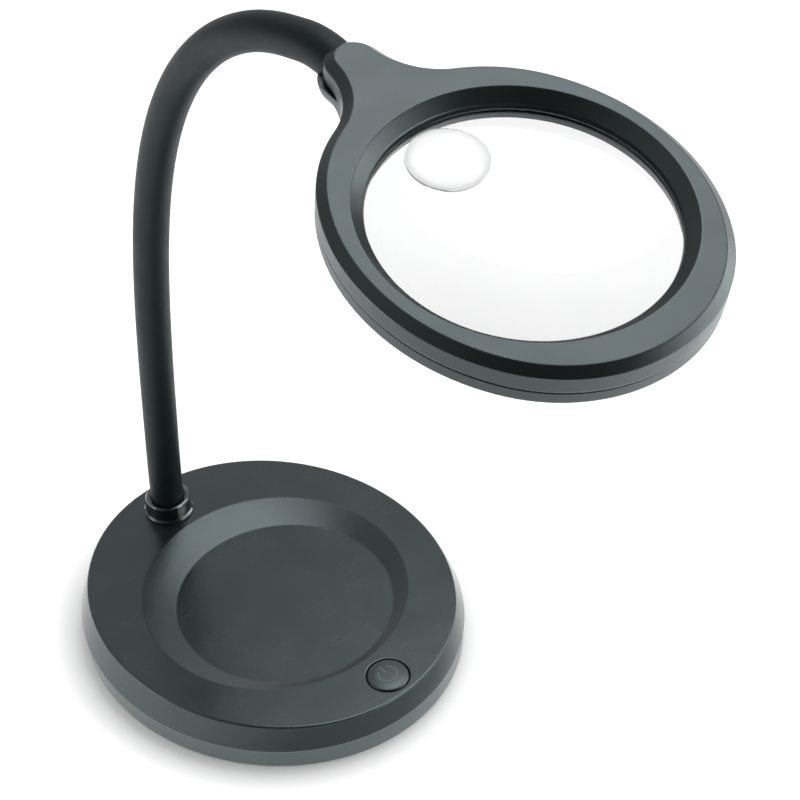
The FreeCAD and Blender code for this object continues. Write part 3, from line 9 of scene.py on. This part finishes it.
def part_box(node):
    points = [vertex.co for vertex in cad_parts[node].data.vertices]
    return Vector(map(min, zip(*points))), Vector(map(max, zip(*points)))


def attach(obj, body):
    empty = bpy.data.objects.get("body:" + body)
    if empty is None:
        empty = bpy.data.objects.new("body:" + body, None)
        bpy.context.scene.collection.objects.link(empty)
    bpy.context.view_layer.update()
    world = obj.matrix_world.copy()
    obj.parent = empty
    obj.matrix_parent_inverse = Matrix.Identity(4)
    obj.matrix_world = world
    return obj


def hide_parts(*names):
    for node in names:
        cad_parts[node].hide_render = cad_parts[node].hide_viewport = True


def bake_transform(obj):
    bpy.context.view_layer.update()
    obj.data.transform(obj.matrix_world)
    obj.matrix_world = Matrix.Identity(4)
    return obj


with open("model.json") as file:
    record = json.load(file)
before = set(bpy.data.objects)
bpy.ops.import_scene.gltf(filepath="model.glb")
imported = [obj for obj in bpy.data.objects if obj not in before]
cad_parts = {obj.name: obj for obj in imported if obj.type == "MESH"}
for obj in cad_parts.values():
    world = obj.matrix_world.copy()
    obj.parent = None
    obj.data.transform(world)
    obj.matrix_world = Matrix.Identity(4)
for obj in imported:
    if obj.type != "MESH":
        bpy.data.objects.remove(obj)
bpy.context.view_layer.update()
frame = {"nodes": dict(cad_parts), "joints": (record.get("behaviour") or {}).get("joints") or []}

NODES = frame["nodes"]
JOINTS = {joint["name"]: joint for joint in frame["joints"]}

# Sizes in metres, the same as the CAD's.
HEAD_TILT = math.radians(11.4)
HEAD_TWIST = math.radians(-2.05)
HEAD_YAW = math.radians(3.2)
HEAD_PARTING = 0.0086
NECK_REACH = 0.10005
SLEEVE_RADIUS = 0.0071
WIRE_RADIUS = 0.0007
SLEEVE_END = 0.0119
END_EASE = 0.008
LENS_RADIUS = 0.051
LENS_DEPTH = 0.0064
LENS_EDGE = 0.0027
LENS_CURVE = 0.33
SPOT_RADIUS = 0.0135
SPOT_SHIFT = 0.035

# How finely the arm and the lens are drawn.
BEND_STEPS = 10
ARM_STEPS = 36
LENS_STEPS = 128
LENS_RINGS = 24
THIRDS = (0.33, 0.66)

# The bevel of the lens's edge, and how much of the way to a link's middle a bend takes up.
LENS_BEVEL = 0.0002
BEND_SHARE = 0.98

# Where along the spot lens's radius its darker rim lies, and how light it is there: painted shade
# in the lower face's tint, standing in for the shade at a thick lens's edge.
SPOT_PAINTED_RIM_SHADE = ((0.80, 0.88), (0.93, 0.60), (0.975, 0.50))

# The power symbol on the cap.
MARK_INNER = 0.0036
MARK_OUTER = 0.0042
MARK_GAP = math.radians(32)
MARK_STEPS = 28
MARK_BAR_HALF = 0.0003
MARK_BAR_FOOT = 0.0009
MARK_BAR_TOP = 0.0050
MARK_DEPTH = 0.0004
MARK_SUNK = 0.00001


# ---------------------------------------------------------------- materials

# Noise mostly lies between these.
NOISE_LOW = 0.3
NOISE_HIGH = 0.7

# Moulded plastic: how far tone and roughness wander, and what a rounded edge changes.
TONE_SPREAD = 0.1
ROUGH_SPREAD = 0.03
EDGE_SHARP = 0.9
EDGE_FLAT = 0.998
EDGE_ROUGHNESS = -0.12
EDGE_SPECULAR = 1.2
BEVEL_SAMPLES = 8


class Tree:
    """A node tree with short calls for adding and joining nodes."""

    def __init__(self, tree):
        self.tree = tree

    def add(self, kind, **settings):
        node = self.tree.nodes.new(kind)
        for key, setting in settings.items():
            setattr(node, key, setting)
        return node

    def feed(self, source, target):
        """Joins a node's output to an input, or sets the input to a plain value."""
        if isinstance(source, bpy.types.NodeSocket):
            self.tree.links.new(source, target)
        else:
            target.default_value = source

    def maths(self, operation, first, second):
        node = self.add("ShaderNodeMath", operation=operation)
        self.feed(first, node.inputs[0])
        self.feed(second, node.inputs[1])
        return node.outputs["Value"]

    def vectors(self, operation, first, second=None):
        node = self.add("ShaderNodeVectorMath", operation=operation)
        self.feed(first, node.inputs[0])
        if second is not None:
            self.feed(second, node.inputs[1])
        is_number = operation in ("DOT_PRODUCT", "LENGTH", "DISTANCE")
        return node.outputs["Value" if is_number else "Vector"]


class Finish(Tree):
    """A material with its shader, its output and the piece's own coordinates."""

    def __init__(self, name):
        self.material = bpy.data.materials.new(name)
        self.material.use_nodes = True
        super().__init__(self.material.node_tree)
        self.shader = self.tree.nodes["Principled BSDF"]
        self.output = self.tree.nodes["Material Output"]
        self.place = self.add("ShaderNodeTexCoord").outputs["Object"]

    def noise(self, scale, detail, roughness=0.5):
        node = self.add("ShaderNodeTexNoise")
        self.feed(self.place, node.inputs["Vector"])
        node.inputs["Scale"].default_value = scale
        node.inputs["Detail"].default_value = detail
        node.inputs["Roughness"].default_value = roughness
        return node.outputs["Fac"]

    def ramp(self, source, low, high, start=NOISE_LOW, stop=NOISE_HIGH):
        """From low to high while the source goes from start to stop."""
        node = self.add("ShaderNodeMapRange")
        self.feed(source, node.inputs["Value"])
        node.inputs["From Min"].default_value = start
        node.inputs["From Max"].default_value = stop
        node.inputs["To Min"].default_value = low
        node.inputs["To Max"].default_value = high
        return node.outputs["Result"]

    def colours(self, noise, dark, light):
        """From dark to light with the noise."""
        node = self.add("ShaderNodeValToRGB")
        self.feed(noise, node.inputs["Fac"])
        first, second = node.color_ramp.elements
        first.position, first.color = NOISE_LOW, (*dark, 1)
        second.position, second.color = NOISE_HIGH, (*light, 1)
        return node.outputs["Color"]

    def bump(self, source, height, before=None):
        node = self.add("ShaderNodeBump")
        self.feed(source, node.inputs["Height"])
        node.inputs["Distance"].default_value = height
        node.inputs["Strength"].default_value = 1.0
        if before is not None:
            self.feed(before, node.inputs["Normal"])
        return node.outputs["Normal"]

    def rounded(self, radius):
        """The normal as if every edge were rounded a little."""
        node = self.add("ShaderNodeBevel", samples=BEVEL_SAMPLES)
        node.inputs["Radius"].default_value = radius
        return node.outputs["Normal"]

    def flatness(self, eased):
        """1 on a flat face, less where the eased normal leans away from the face's own."""
        surface = self.add("ShaderNodeNewGeometry")
        return self.vectors("DOT_PRODUCT", eased, surface.outputs["Normal"])

    def set(self, **values):
        """Sets the shader's inputs, named with _ for each space."""
        for name, value in values.items():
            self.feed(value, self.shader.inputs[name.replace("_", " ")])


def moulded_plastic(name, colour, rough, grain, edge, specular=0.9):
    """Moulded plastic: a fine grain, faint mottling, and edges that catch the light."""
    made = Finish(name)
    mottle = made.noise(55, 3)
    dark = tuple(channel * (1 - TONE_SPREAD) for channel in colour)
    light = tuple(channel * (1 + TONE_SPREAD) for channel in colour)
    eased = made.rounded(edge)
    worn = made.ramp(made.flatness(eased), 1.0, 0.0, EDGE_SHARP, EDGE_FLAT)
    even = made.ramp(mottle, rough - ROUGH_SPREAD, rough + ROUGH_SPREAD)
    smoother = made.maths("MULTIPLY", worn, EDGE_ROUGHNESS)
    brighter = made.maths("MULTIPLY", worn, EDGE_SPECULAR)
    made.set(
        Base_Color=made.colours(mottle, dark, light),
        Roughness=made.maths("ADD", even, smoother),
        Normal=made.bump(made.noise(800, 3, 0.6), grain, eased),
        Specular_IOR_Level=made.maths("ADD", brighter, specular),
        Specular_Tint=(0.78, 0.955, 1.0, 1),
    )
    return made.material


def sleeve_rubber():
    """Black rubber with a dusty bloom and very fine unevenness."""
    made = Finish("sleeve_rubber")
    cloud = made.noise(90, 4, 0.6)
    made.set(
        Base_Color=made.colours(cloud, (0.004, 0.0068, 0.0085), (0.0062, 0.0102, 0.0125)),
        Roughness=made.ramp(cloud, 0.5, 0.6),
        Normal=made.bump(made.noise(1400, 3, 0.7), 0.00003),
        Specular_IOR_Level=0.3,
        Specular_Tint=(0.75, 0.93, 1.0, 1),
    )
    return made.material


def polished_black(name):
    """Polished black with faint haze."""
    made = Finish(name)
    haze = made.noise(300, 2)
    made.set(
        Base_Color=made.colours(haze, (0.003, 0.004, 0.005), (0.005, 0.007, 0.008)),
        Roughness=made.ramp(haze, 0.1, 0.16),
        Normal=made.rounded(0.0012),
        Specular_IOR_Level=1.0,
        Specular_Tint=(0.8, 0.96, 1.0, 1),
        Coat_Weight=1.0,
        Coat_Roughness=0.05,
    )
    return made.material


def metal(name, dark, light, rough):
    """Plain turned or rolled metal with faint streaks."""
    made = Finish(name)
    streak = made.noise(700, 3)
    made.set(
        Base_Color=made.colours(streak, dark, light),
        Roughness=made.ramp(streak, rough - 0.06, rough + 0.06),
        Metallic=1.0,
    )
    return made.material


def plain(name, dark, light, rough):
    """A simple finish for small pieces."""
    made = Finish(name)
    speck = made.noise(400, 2)
    made.set(
        Base_Color=made.colours(speck, dark, light),
        Roughness=made.ramp(speck, rough - 0.04, rough + 0.04),
    )
    return made.material


def acrylic(made, ripple, tint, rough):
    """Turns a finish into clear acrylic with a tint and the faintest ripple, and gives it back."""
    made.set(
        Base_Color=tint,
        Roughness=made.ramp(ripple, 0.0, rough),
        Transmission_Weight=1.0,
        IOR=1.49,
        Specular_IOR_Level=0.1,
        Specular_Tint=(0.3, 0.3, 0.3, 1),
    )
    return made.material


def lens_clear(name):
    """Clear acrylic, slightly grey."""
    made = Finish(name)
    ripple = made.noise(25, 1)
    tint = made.colours(ripple, (0.825, 0.833, 0.83), (0.865, 0.87, 0.87))
    return acrylic(made, ripple, tint, 0.004)


def lens_face_painted_spot(name):
    """The lens's lower face: a little less clear than the spot lens, whose clear middle and darker
    rim are painted light and shade in the tint.
    """
    made = Finish(name)
    flat = made.vectors("MULTIPLY", made.place, (1, 1, 0))
    offset = made.vectors("DISTANCE", flat, (0, SPOT_SHIFT, 0))
    # Painted light and shade: the tint is white in the spot's middle, darker round its rim, and a
    # lighter grey beyond.
    ramp = made.add("ShaderNodeValToRGB")
    made.feed(made.ramp(offset, 0.0, 1.0, 0.0, SPOT_RADIUS), ramp.inputs["Fac"])
    stops = ramp.color_ramp.elements
    stops[0].position, stops[0].color = 0.5, (1, 1, 1, 1)
    stops[1].position, stops[1].color = 1.0, (0.76, 0.765, 0.76, 1)
    for place, grey in SPOT_PAINTED_RIM_SHADE:
        stops.new(place).color = (grey, grey, grey, 1)
    return acrylic(made, made.noise(25, 1), ramp.outputs["Color"], 0.012)


COVER = moulded_plastic("cover_plastic", (0.0075, 0.0095, 0.0100), 0.26, 0.00003, 0.0007)
UNDER = moulded_plastic("lower_plastic", (0.016, 0.022, 0.022), 0.4, 0.00003, 0.0005, 1.0)
HEAD = moulded_plastic("head_plastic", (0.0080, 0.0100, 0.0105), 0.35, 0.00002, 0.0008, 0.66)
BUTTON = moulded_plastic("button_plastic", (0.0080, 0.0100, 0.0105), 0.38, 0.00002, 0.0006)
SLEEVE = sleeve_rubber()
GLOSS = polished_black("collar_gloss")
STEEL = metal("core_steel", (0.5, 0.5, 0.51), (0.62, 0.62, 0.63), 0.3)
SCREW = metal("screw_steel", (0.42, 0.43, 0.45), (0.6, 0.6, 0.62), 0.28)
BRASS = metal("contact_metal", (0.62, 0.58, 0.46), (0.72, 0.68, 0.55), 0.25)
FOOT = plain("foot_rubber", (0.012, 0.012, 0.012), (0.02, 0.02, 0.02), 0.8)
JACKET = plain("cell_jacket", (0.05, 0.16, 0.12), (0.07, 0.2, 0.15), 0.3)
LAMINATE = plain("board_laminate", (0.01, 0.09, 0.03), (0.02, 0.13, 0.05), 0.4)
SWITCH = plain("switch_plastic", (0.01, 0.01, 0.01), (0.02, 0.02, 0.02), 0.4)
WIRE = plain("wire_jacket", (0.35, 0.35, 0.35), (0.45, 0.45, 0.45), 0.5)
RESIN = plain("led_resin", (0.8, 0.76, 0.5), (0.9, 0.86, 0.6), 0.2)
MARK = plain("button_mark", (0.10, 0.115, 0.12), (0.13, 0.15, 0.155), 0.45)
CLEAR = lens_clear("lens_acrylic")
# The lens's lower face, with the spot lens's light and shade painted into its tint.
PAINTED_SPOT_FACE = lens_face_painted_spot("lens_face_painted_spot")

FINISHES = {
    "base_top_cover": COVER,
    "base_bottom_cover": UNDER,
    "battery_door": UNDER,
    "power_button": BUTTON,
    "head_top_shell": HEAD,
    "head_bottom_shell": HEAD,
    "arm_collar": GLOSS,
    "foot_ring": FOOT,
    "ballast_plate": STEEL,
    "foot_fitting": STEEL,
    "foot_washer": STEEL,
    "foot_nut": STEEL,
    "head_fitting": STEEL,
    "base_screws": SCREW,
    "head_screws": SCREW,
    "contact_plates": BRASS,
    "contact_springs": BRASS,
    "control_board": LAMINATE,
    "led_board": LAMINATE,
    "push_switch": SWITCH,
    "switch_plunger": SWITCH,
    "lamp_wire": WIRE,
    "leds": RESIN,
    "led_window": CLEAR,
    "main_lens": CLEAR,
    "spot_lens": CLEAR,
}


def finish_for(node):
    """A CAD node's finish. The one node not named, the hidden neck_sleeve, takes the cover's."""
    if node.startswith("neck_link"):
        return STEEL
    if node.startswith("battery_cell"):
        return JACKET
    return FINISHES.get(node, COVER)


for node, thing in NODES.items():
    for slot in thing.material_slots:
        slot.material = finish_for(node)
    if not thing.material_slots:
        thing.data.materials.append(finish_for(node))


# ---------------------------------------------------------------- pieces


def piece(name, mesh, material, smooth=True):
    """A new object with one material."""
    mesh.materials.append(material)
    if smooth:
        mesh.polygons.foreach_set("use_smooth", [True] * len(mesh.polygons))
    made = bpy.data.objects.new(name, mesh)
    bpy.context.collection.objects.link(made)
    return made


def skin(rings, closed_ends=False):
    """A mesh over rings of points, each ring joined to the next."""
    around = len(rings[0])
    points = [point for ring in rings for point in ring]
    faces = []
    for row in range(len(rings) - 1):
        low, high = row * around, (row + 1) * around
        for step in range(around):
            after = (step + 1) % around
            faces.append((low + step, low + after, high + after, high + step))
    if closed_ends:
        faces.append(tuple(reversed(range(around))))
        faces.append(tuple(range((len(rings) - 1) * around, len(rings) * around)))
    mesh = bpy.data.meshes.new("skin")
    mesh.from_pydata(points, [], faces)
    return mesh


def head_matrix():
    """The head's own frame: ring centre on the top face, +Y towards the neck."""
    pivot = Vector(JOINTS["nod_13"]["pos_m"])
    tilt = Matrix.Rotation(HEAD_TILT, 4, "X")
    turn = tilt @ Matrix.Rotation(HEAD_TWIST, 4, "Y") @ Matrix.Rotation(-HEAD_YAW, 4, "Z")
    axis = Vector((0, NECK_REACH, -HEAD_PARTING))
    return Matrix.Translation(pivot - turn @ axis) @ turn


HEAD_PLACE = head_matrix()


def arm_corners():
    """The flexing points, with the sleeve's two ends before and after them."""
    flexing = sorted((name[-2:], name) for name in JOINTS if name[-2:].isdigit())
    pivots = [Vector(JOINTS[name]["pos_m"]) for _, name in flexing]
    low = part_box("neck_sleeve")[0].z
    start = Vector((0, pivots[0].y, low))
    outward = HEAD_PLACE.to_3x3() @ Vector((0, -1, 0))
    return [start] + pivots + [pivots[-1] + outward * SLEEVE_END]


def bend_points(corner, enter, leave, reach):
    """Points and directions along the arc that turns a corner within reach of it."""
    turn = enter.angle(leave)
    side = (leave - enter * enter.dot(leave)).normalized()
    radius = reach / math.tan(turn / 2)
    start = corner - enter * reach
    centre = start + side * radius
    made = []
    for step in range(BEND_STEPS + 1):
        angle = turn * step / BEND_STEPS
        point = centre - side * radius * math.cos(angle) + enter * radius * math.sin(angle)
        made.append((point, enter * math.cos(angle) + side * math.sin(angle)))
    return made


def ring_round(point, along, radius):
    """Points of a circle about a direction across X."""
    side = Vector((1, 0, 0))
    other = along.cross(side).normalized()
    points = []
    for step in range(ARM_STEPS):
        angle = 2 * math.pi * step / ARM_STEPS
        points.append(point + side * radius * math.cos(angle) + other * radius * math.sin(angle))
    return points


def make_stretches(name, radius, material, node):
    """A soft part along the arm, one stretch per flexing point, from link middle to link middle."""
    corners = arm_corners()
    last = len(corners) - 2
    for index in range(1, last + 1):
        before, corner, after = corners[index - 1:index + 2]
        enter = (corner - before).normalized()
        leave = (after - corner).normalized()
        reach = END_EASE if index in (1, last) else (after - corner).length / 2 * BEND_SHARE
        start = before if index == 1 else (before + corner) / 2
        end = after if index == last else (corner + after) / 2
        bend = bend_points(corner, enter, leave, reach)
        first, tail = bend[0][0], bend[-1][0]
        stations = [(start + (first - start) * part, enter) for part in (0, *THIRDS)]
        stations += bend
        stations += [(tail + (end - tail) * part, leave) for part in (*THIRDS, 1)]
        rings = [ring_round(point, along, radius) for point, along in stations]
        made = piece("%s_%02d" % (name, index), skin(rings), material)
        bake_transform(made)
        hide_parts(node)


def lens_circle(radius, z):
    """Points of a circle about the lens's axis."""
    angles = [2 * math.pi * step / LENS_STEPS for step in range(LENS_STEPS)]
    return [Vector((radius * math.cos(a), radius * math.sin(a), z)) for a in angles]


def dome(height, rise):
    """Rings of a domed face from its edge to near its middle; rise is 1 upwards, -1 downwards."""
    radius = LENS_RADIUS - LENS_BEVEL
    rim = math.sqrt(LENS_CURVE * LENS_CURVE - radius * radius)
    rings = []
    for step in range(LENS_RINGS):
        out = radius * (1 - step / LENS_RINGS)
        sag = math.sqrt(LENS_CURVE * LENS_CURVE - out * out) - rim
        rings.append(lens_circle(out, height + rise * sag))
    return rings


def make_lens():
    """The large lens with smooth domes and a small bevel at its edge."""
    top, low = -LENS_DEPTH, -LENS_DEPTH - LENS_EDGE
    edge = [lens_circle(LENS_RADIUS, z) for z in (top - LENS_BEVEL, low + LENS_BEVEL)]
    rings = list(reversed(dome(top, 1))) + edge + dome(low, -1)
    mesh = skin(list(reversed(rings)), closed_ends=True)
    made = piece("lens", mesh, CLEAR)
    # The lower face's tint holds the painted light and shade of the spot lens.
    mesh.materials.append(PAINTED_SPOT_FACE)
    for face in mesh.polygons:
        if face.center.z < low + LENS_BEVEL / 2:
            face.material_index = 1
    made.matrix_world = HEAD_PLACE
    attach(made, "head")
    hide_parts("main_lens")


def make_mark():
    """A power symbol on the cap: an open ring with a bar in its gap."""
    low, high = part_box("power_button")
    middle = (low + high) / 2
    height = high.z - MARK_SUNK
    mesh = bmesh.new()

    def plate(points):
        lower = [mesh.verts.new((x, y, height - MARK_DEPTH)) for x, y in points]
        upper = [mesh.verts.new((x, y, height)) for x, y in points]
        mesh.faces.new(upper)
        for n in range(len(points)):
            after = (n + 1) % len(points)
            mesh.faces.new((lower[n], lower[after], upper[after], upper[n]))

    first, sweep = math.pi / 2 + MARK_GAP, 2 * math.pi - 2 * MARK_GAP
    for step in range(MARK_STEPS):
        begin = first + sweep * step / MARK_STEPS
        finish = first + sweep * (step + 1) / MARK_STEPS
        corners = (
            (MARK_INNER, begin), (MARK_OUTER, begin), (MARK_OUTER, finish), (MARK_INNER, finish)
        )
        plate([(middle.x + r * math.cos(a), middle.y + r * math.sin(a)) for r, a in corners])
    left, right = middle.x - MARK_BAR_HALF, middle.x + MARK_BAR_HALF
    foot, top = middle.y + MARK_BAR_FOOT, middle.y + MARK_BAR_TOP
    plate([(left, foot), (right, foot), (right, top), (left, top)])
    data = bpy.data.meshes.new("button_mark")
    mesh.to_mesh(data)
    mesh.free()
    made = piece("button_mark", data, MARK, smooth=False)
    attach(made, "button")


make_stretches("sleeve", SLEEVE_RADIUS, SLEEVE, "neck_sleeve")
make_stretches("wire", WIRE_RADIUS, WIRE, "lamp_wire")
make_lens()
make_mark()


# ---------------------------------------------------------------- floor, lights and camera

# The studio's surround: an even level, then glows by direction, focus and strength.
SURROUND = 0.05
GLOWS = (
    ((0.656, 0.656, 0.375), 3, 0.75),
    ((-0.67, 0.47, 0.57), 4, 0.55),
)

# Name, place, target, width, height and watts.
LIGHTS = (
    ("top", (0.46, 0.10, 1.16), (0, 0, 0), 0.88, 0.88, 6.4),
    ("side", (0.80, -0.86, 0.40), (0, -0.15, 0.29), 2.0, 0.46, 12.0),
    ("left", (-1.0, 0.55, 0.2), (0, 0, 0.1), 0.7, 0.3, 1.6),
)

# Half the floor's side, and the white that it adds where it is seen through the lens.
FLOOR_HALF = 4.0
FLOOR_THROUGH_LENS = 0.42

# How white the floor glows in glossy reflections, a painted reflection standing in for light it
# would mirror: the level at the sides and in front, the cosines from the front between which it
# changes, and the distances where full white starts and is reached.
FRONT = (-0.1, -0.995, 0)
PAINTED_GLOW_SIDES = 0.9
PAINTED_GLOW_AHEAD = 0.0
PAINTED_GLOW_TURN = (0.3, 0.85)
PAINTED_GLOW_NEAR = (0.102, 0.090)
PAINTED_GLOW_FAR = (0.16, 0.24)

# The floor's own white: its level beside the base and farther off, and the distances between which
# it changes, across X stretched to follow the base's outline. The low level beside the base is a
# painted shadow round it.
WHITE_IN_PAINTED_SHADOW = 0.2
WHITE_BEYOND = 0.6
WHITE_REACH = (0.083, 0.100)
BASE_STRETCH = (1.097, 1, 0)

# Where the camera stands, how it is turned, and its lens and sensor in millimetres.
CAMERA_PLACE = (-0.41491, -0.53696, 0.71405)
CAMERA_AZIMUTH = math.radians(-42.53)
CAMERA_ELEVATION = math.radians(41.19)
CAMERA_ROLL = math.radians(-2.13)
CAMERA_LENS = 103.46
CAMERA_SENSOR = 36
CAMERA_CLIP = (0.05, 20)


def glow_from(tree, source, towards, focus, strength):
    """Light that comes mainly from one side, falling off with the angle."""
    facing = tree.vectors("DOT_PRODUCT", source, Vector(towards).normalized())
    clamp = tree.add("ShaderNodeClamp")
    tree.feed(facing, clamp.inputs["Value"])
    falling = tree.maths("POWER", clamp.outputs["Result"], focus)
    return tree.maths("MULTIPLY", falling, strength)


def make_world():
    """Studio surround: white where seen, dim towards the camera and brighter behind the lamp."""
    world = bpy.data.worlds.new("studio")
    bpy.context.scene.world = world
    world.use_nodes = True
    tree = Tree(world.node_tree)
    shown = world.node_tree.nodes["Background"]
    shown.inputs["Color"].default_value = (1, 1, 1, 1)
    source = tree.add("ShaderNodeTexCoord").outputs["Generated"]
    level = SURROUND
    for glow in GLOWS:
        level = tree.maths("ADD", glow_from(tree, source, *glow), level)
    rays = tree.add("ShaderNodeLightPath").outputs
    seen = tree.maths("MAXIMUM", rays["Is Camera Ray"], rays["Is Transmission Ray"])
    mix = tree.add("ShaderNodeMix", data_type="FLOAT")
    tree.feed(seen, mix.inputs[0])
    tree.feed(level, mix.inputs[2])
    mix.inputs[3].default_value = 1.0
    tree.feed(mix.outputs[0], shown.inputs["Strength"])


def painted_floor_reflection(made):
    """How white the floor glows to glossy reflections, a painted reflection: full close to the base
    and far off, between them less ahead.
    """
    away = made.vectors("NORMALIZE", made.place)
    ahead = made.vectors("DOT_PRODUCT", away, FRONT)
    level = made.ramp(ahead, PAINTED_GLOW_SIDES, PAINTED_GLOW_AHEAD, *PAINTED_GLOW_TURN)
    far = made.vectors("LENGTH", made.place)
    for reach in (PAINTED_GLOW_NEAR, PAINTED_GLOW_FAR):
        level = made.maths("MAXIMUM", level, made.ramp(far, 0.0, 1.0, *reach))
    return level


def floor_white_and_painted_shadow(made):
    """What the floor adds of its own to read as white: least beside the base, as a painted shadow
    round it.
    """
    far = made.vectors("LENGTH", made.vectors("MULTIPLY", made.place, BASE_STRETCH))
    return made.ramp(far, WHITE_IN_PAINTED_SHADOW, WHITE_BEYOND, *WHITE_REACH)


def make_floor():
    """A pale floor that keeps a soft shadow, deepened by painted shadow beside the base, and reads
    as white elsewhere.
    """
    mesh = bpy.data.meshes.new("floor")
    signs = ((-1, -1), (1, -1), (1, 1), (-1, 1))
    corners = [(x * FLOOR_HALF, y * FLOOR_HALF, 0) for x, y in signs]
    mesh.from_pydata(corners, [], [(0, 1, 2, 3)])
    made = Finish("floor")
    made.set(
        Base_Color=made.colours(made.noise(3, 2), (0.78, 0.78, 0.78), (0.8, 0.8, 0.8)),
        Roughness=0.9,
        Specular_IOR_Level=0.0,
    )
    rays = made.add("ShaderNodeLightPath").outputs
    # Painted shadow: to camera rays the floor's own white is lower beside the base.
    seen = made.maths("MULTIPLY", rays["Is Camera Ray"], floor_white_and_painted_shadow(made))
    through = made.maths("MULTIPLY", rays["Is Transmission Ray"], FLOOR_THROUGH_LENS)
    # Painted reflection: the floor glows only where a glossy reflection sees it.
    bounced = made.maths("MULTIPLY", rays["Is Reflection Ray"], rays["Is Glossy Ray"])
    painted_reflection = made.maths("MULTIPLY", bounced, painted_floor_reflection(made))
    glow = made.add("ShaderNodeEmission")
    strength = made.maths("ADD", made.maths("ADD", seen, through), painted_reflection)
    made.feed(strength, glow.inputs["Strength"])
    total = made.add("ShaderNodeAddShader")
    made.feed(made.shader.outputs[0], total.inputs[0])
    made.feed(glow.outputs[0], total.inputs[1])
    made.feed(total.outputs[0], made.output.inputs["Surface"])
    floor = piece("floor", mesh, made.material, smooth=False)


def area_light(name, place, target, width, height, watts):
    """An oval lamp that faces its target."""
    data = bpy.data.lights.new(name, "AREA")
    data.shape = "ELLIPSE"
    data.size = width
    data.size_y = height
    data.energy = watts
    lamp = bpy.data.objects.new(name, data)
    lamp.location = place
    lamp.rotation_mode = "QUATERNION"
    lamp.rotation_quaternion = (Vector(target) - Vector(place)).to_track_quat("-Z", "Y")
    bpy.context.collection.objects.link(lamp)


def make_camera():
    """Above the lamp's front left corner, with a long lens."""
    data = bpy.data.cameras.new("camera")
    data.sensor_width = CAMERA_SENSOR
    data.lens = CAMERA_LENS
    data.clip_start, data.clip_end = CAMERA_CLIP
    camera = bpy.data.objects.new("camera", data)
    level = math.cos(CAMERA_ELEVATION)
    back = Vector((
        math.sin(CAMERA_AZIMUTH) * level,
        -math.cos(CAMERA_AZIMUTH) * level,
        math.sin(CAMERA_ELEVATION),
    ))
    camera.location = CAMERA_PLACE
    camera.rotation_mode = "QUATERNION"
    aim = (-back).to_track_quat("-Z", "Y").to_matrix() @ Matrix.Rotation(CAMERA_ROLL, 3, "Z")
    camera.rotation_quaternion = aim.to_quaternion()
    bpy.context.collection.objects.link(camera)
    bpy.context.scene.camera = camera


make_world()
make_floor()
for light in LIGHTS:
    area_light(*light)
make_camera()
bpy.context.scene.view_settings.view_transform = "Standard"
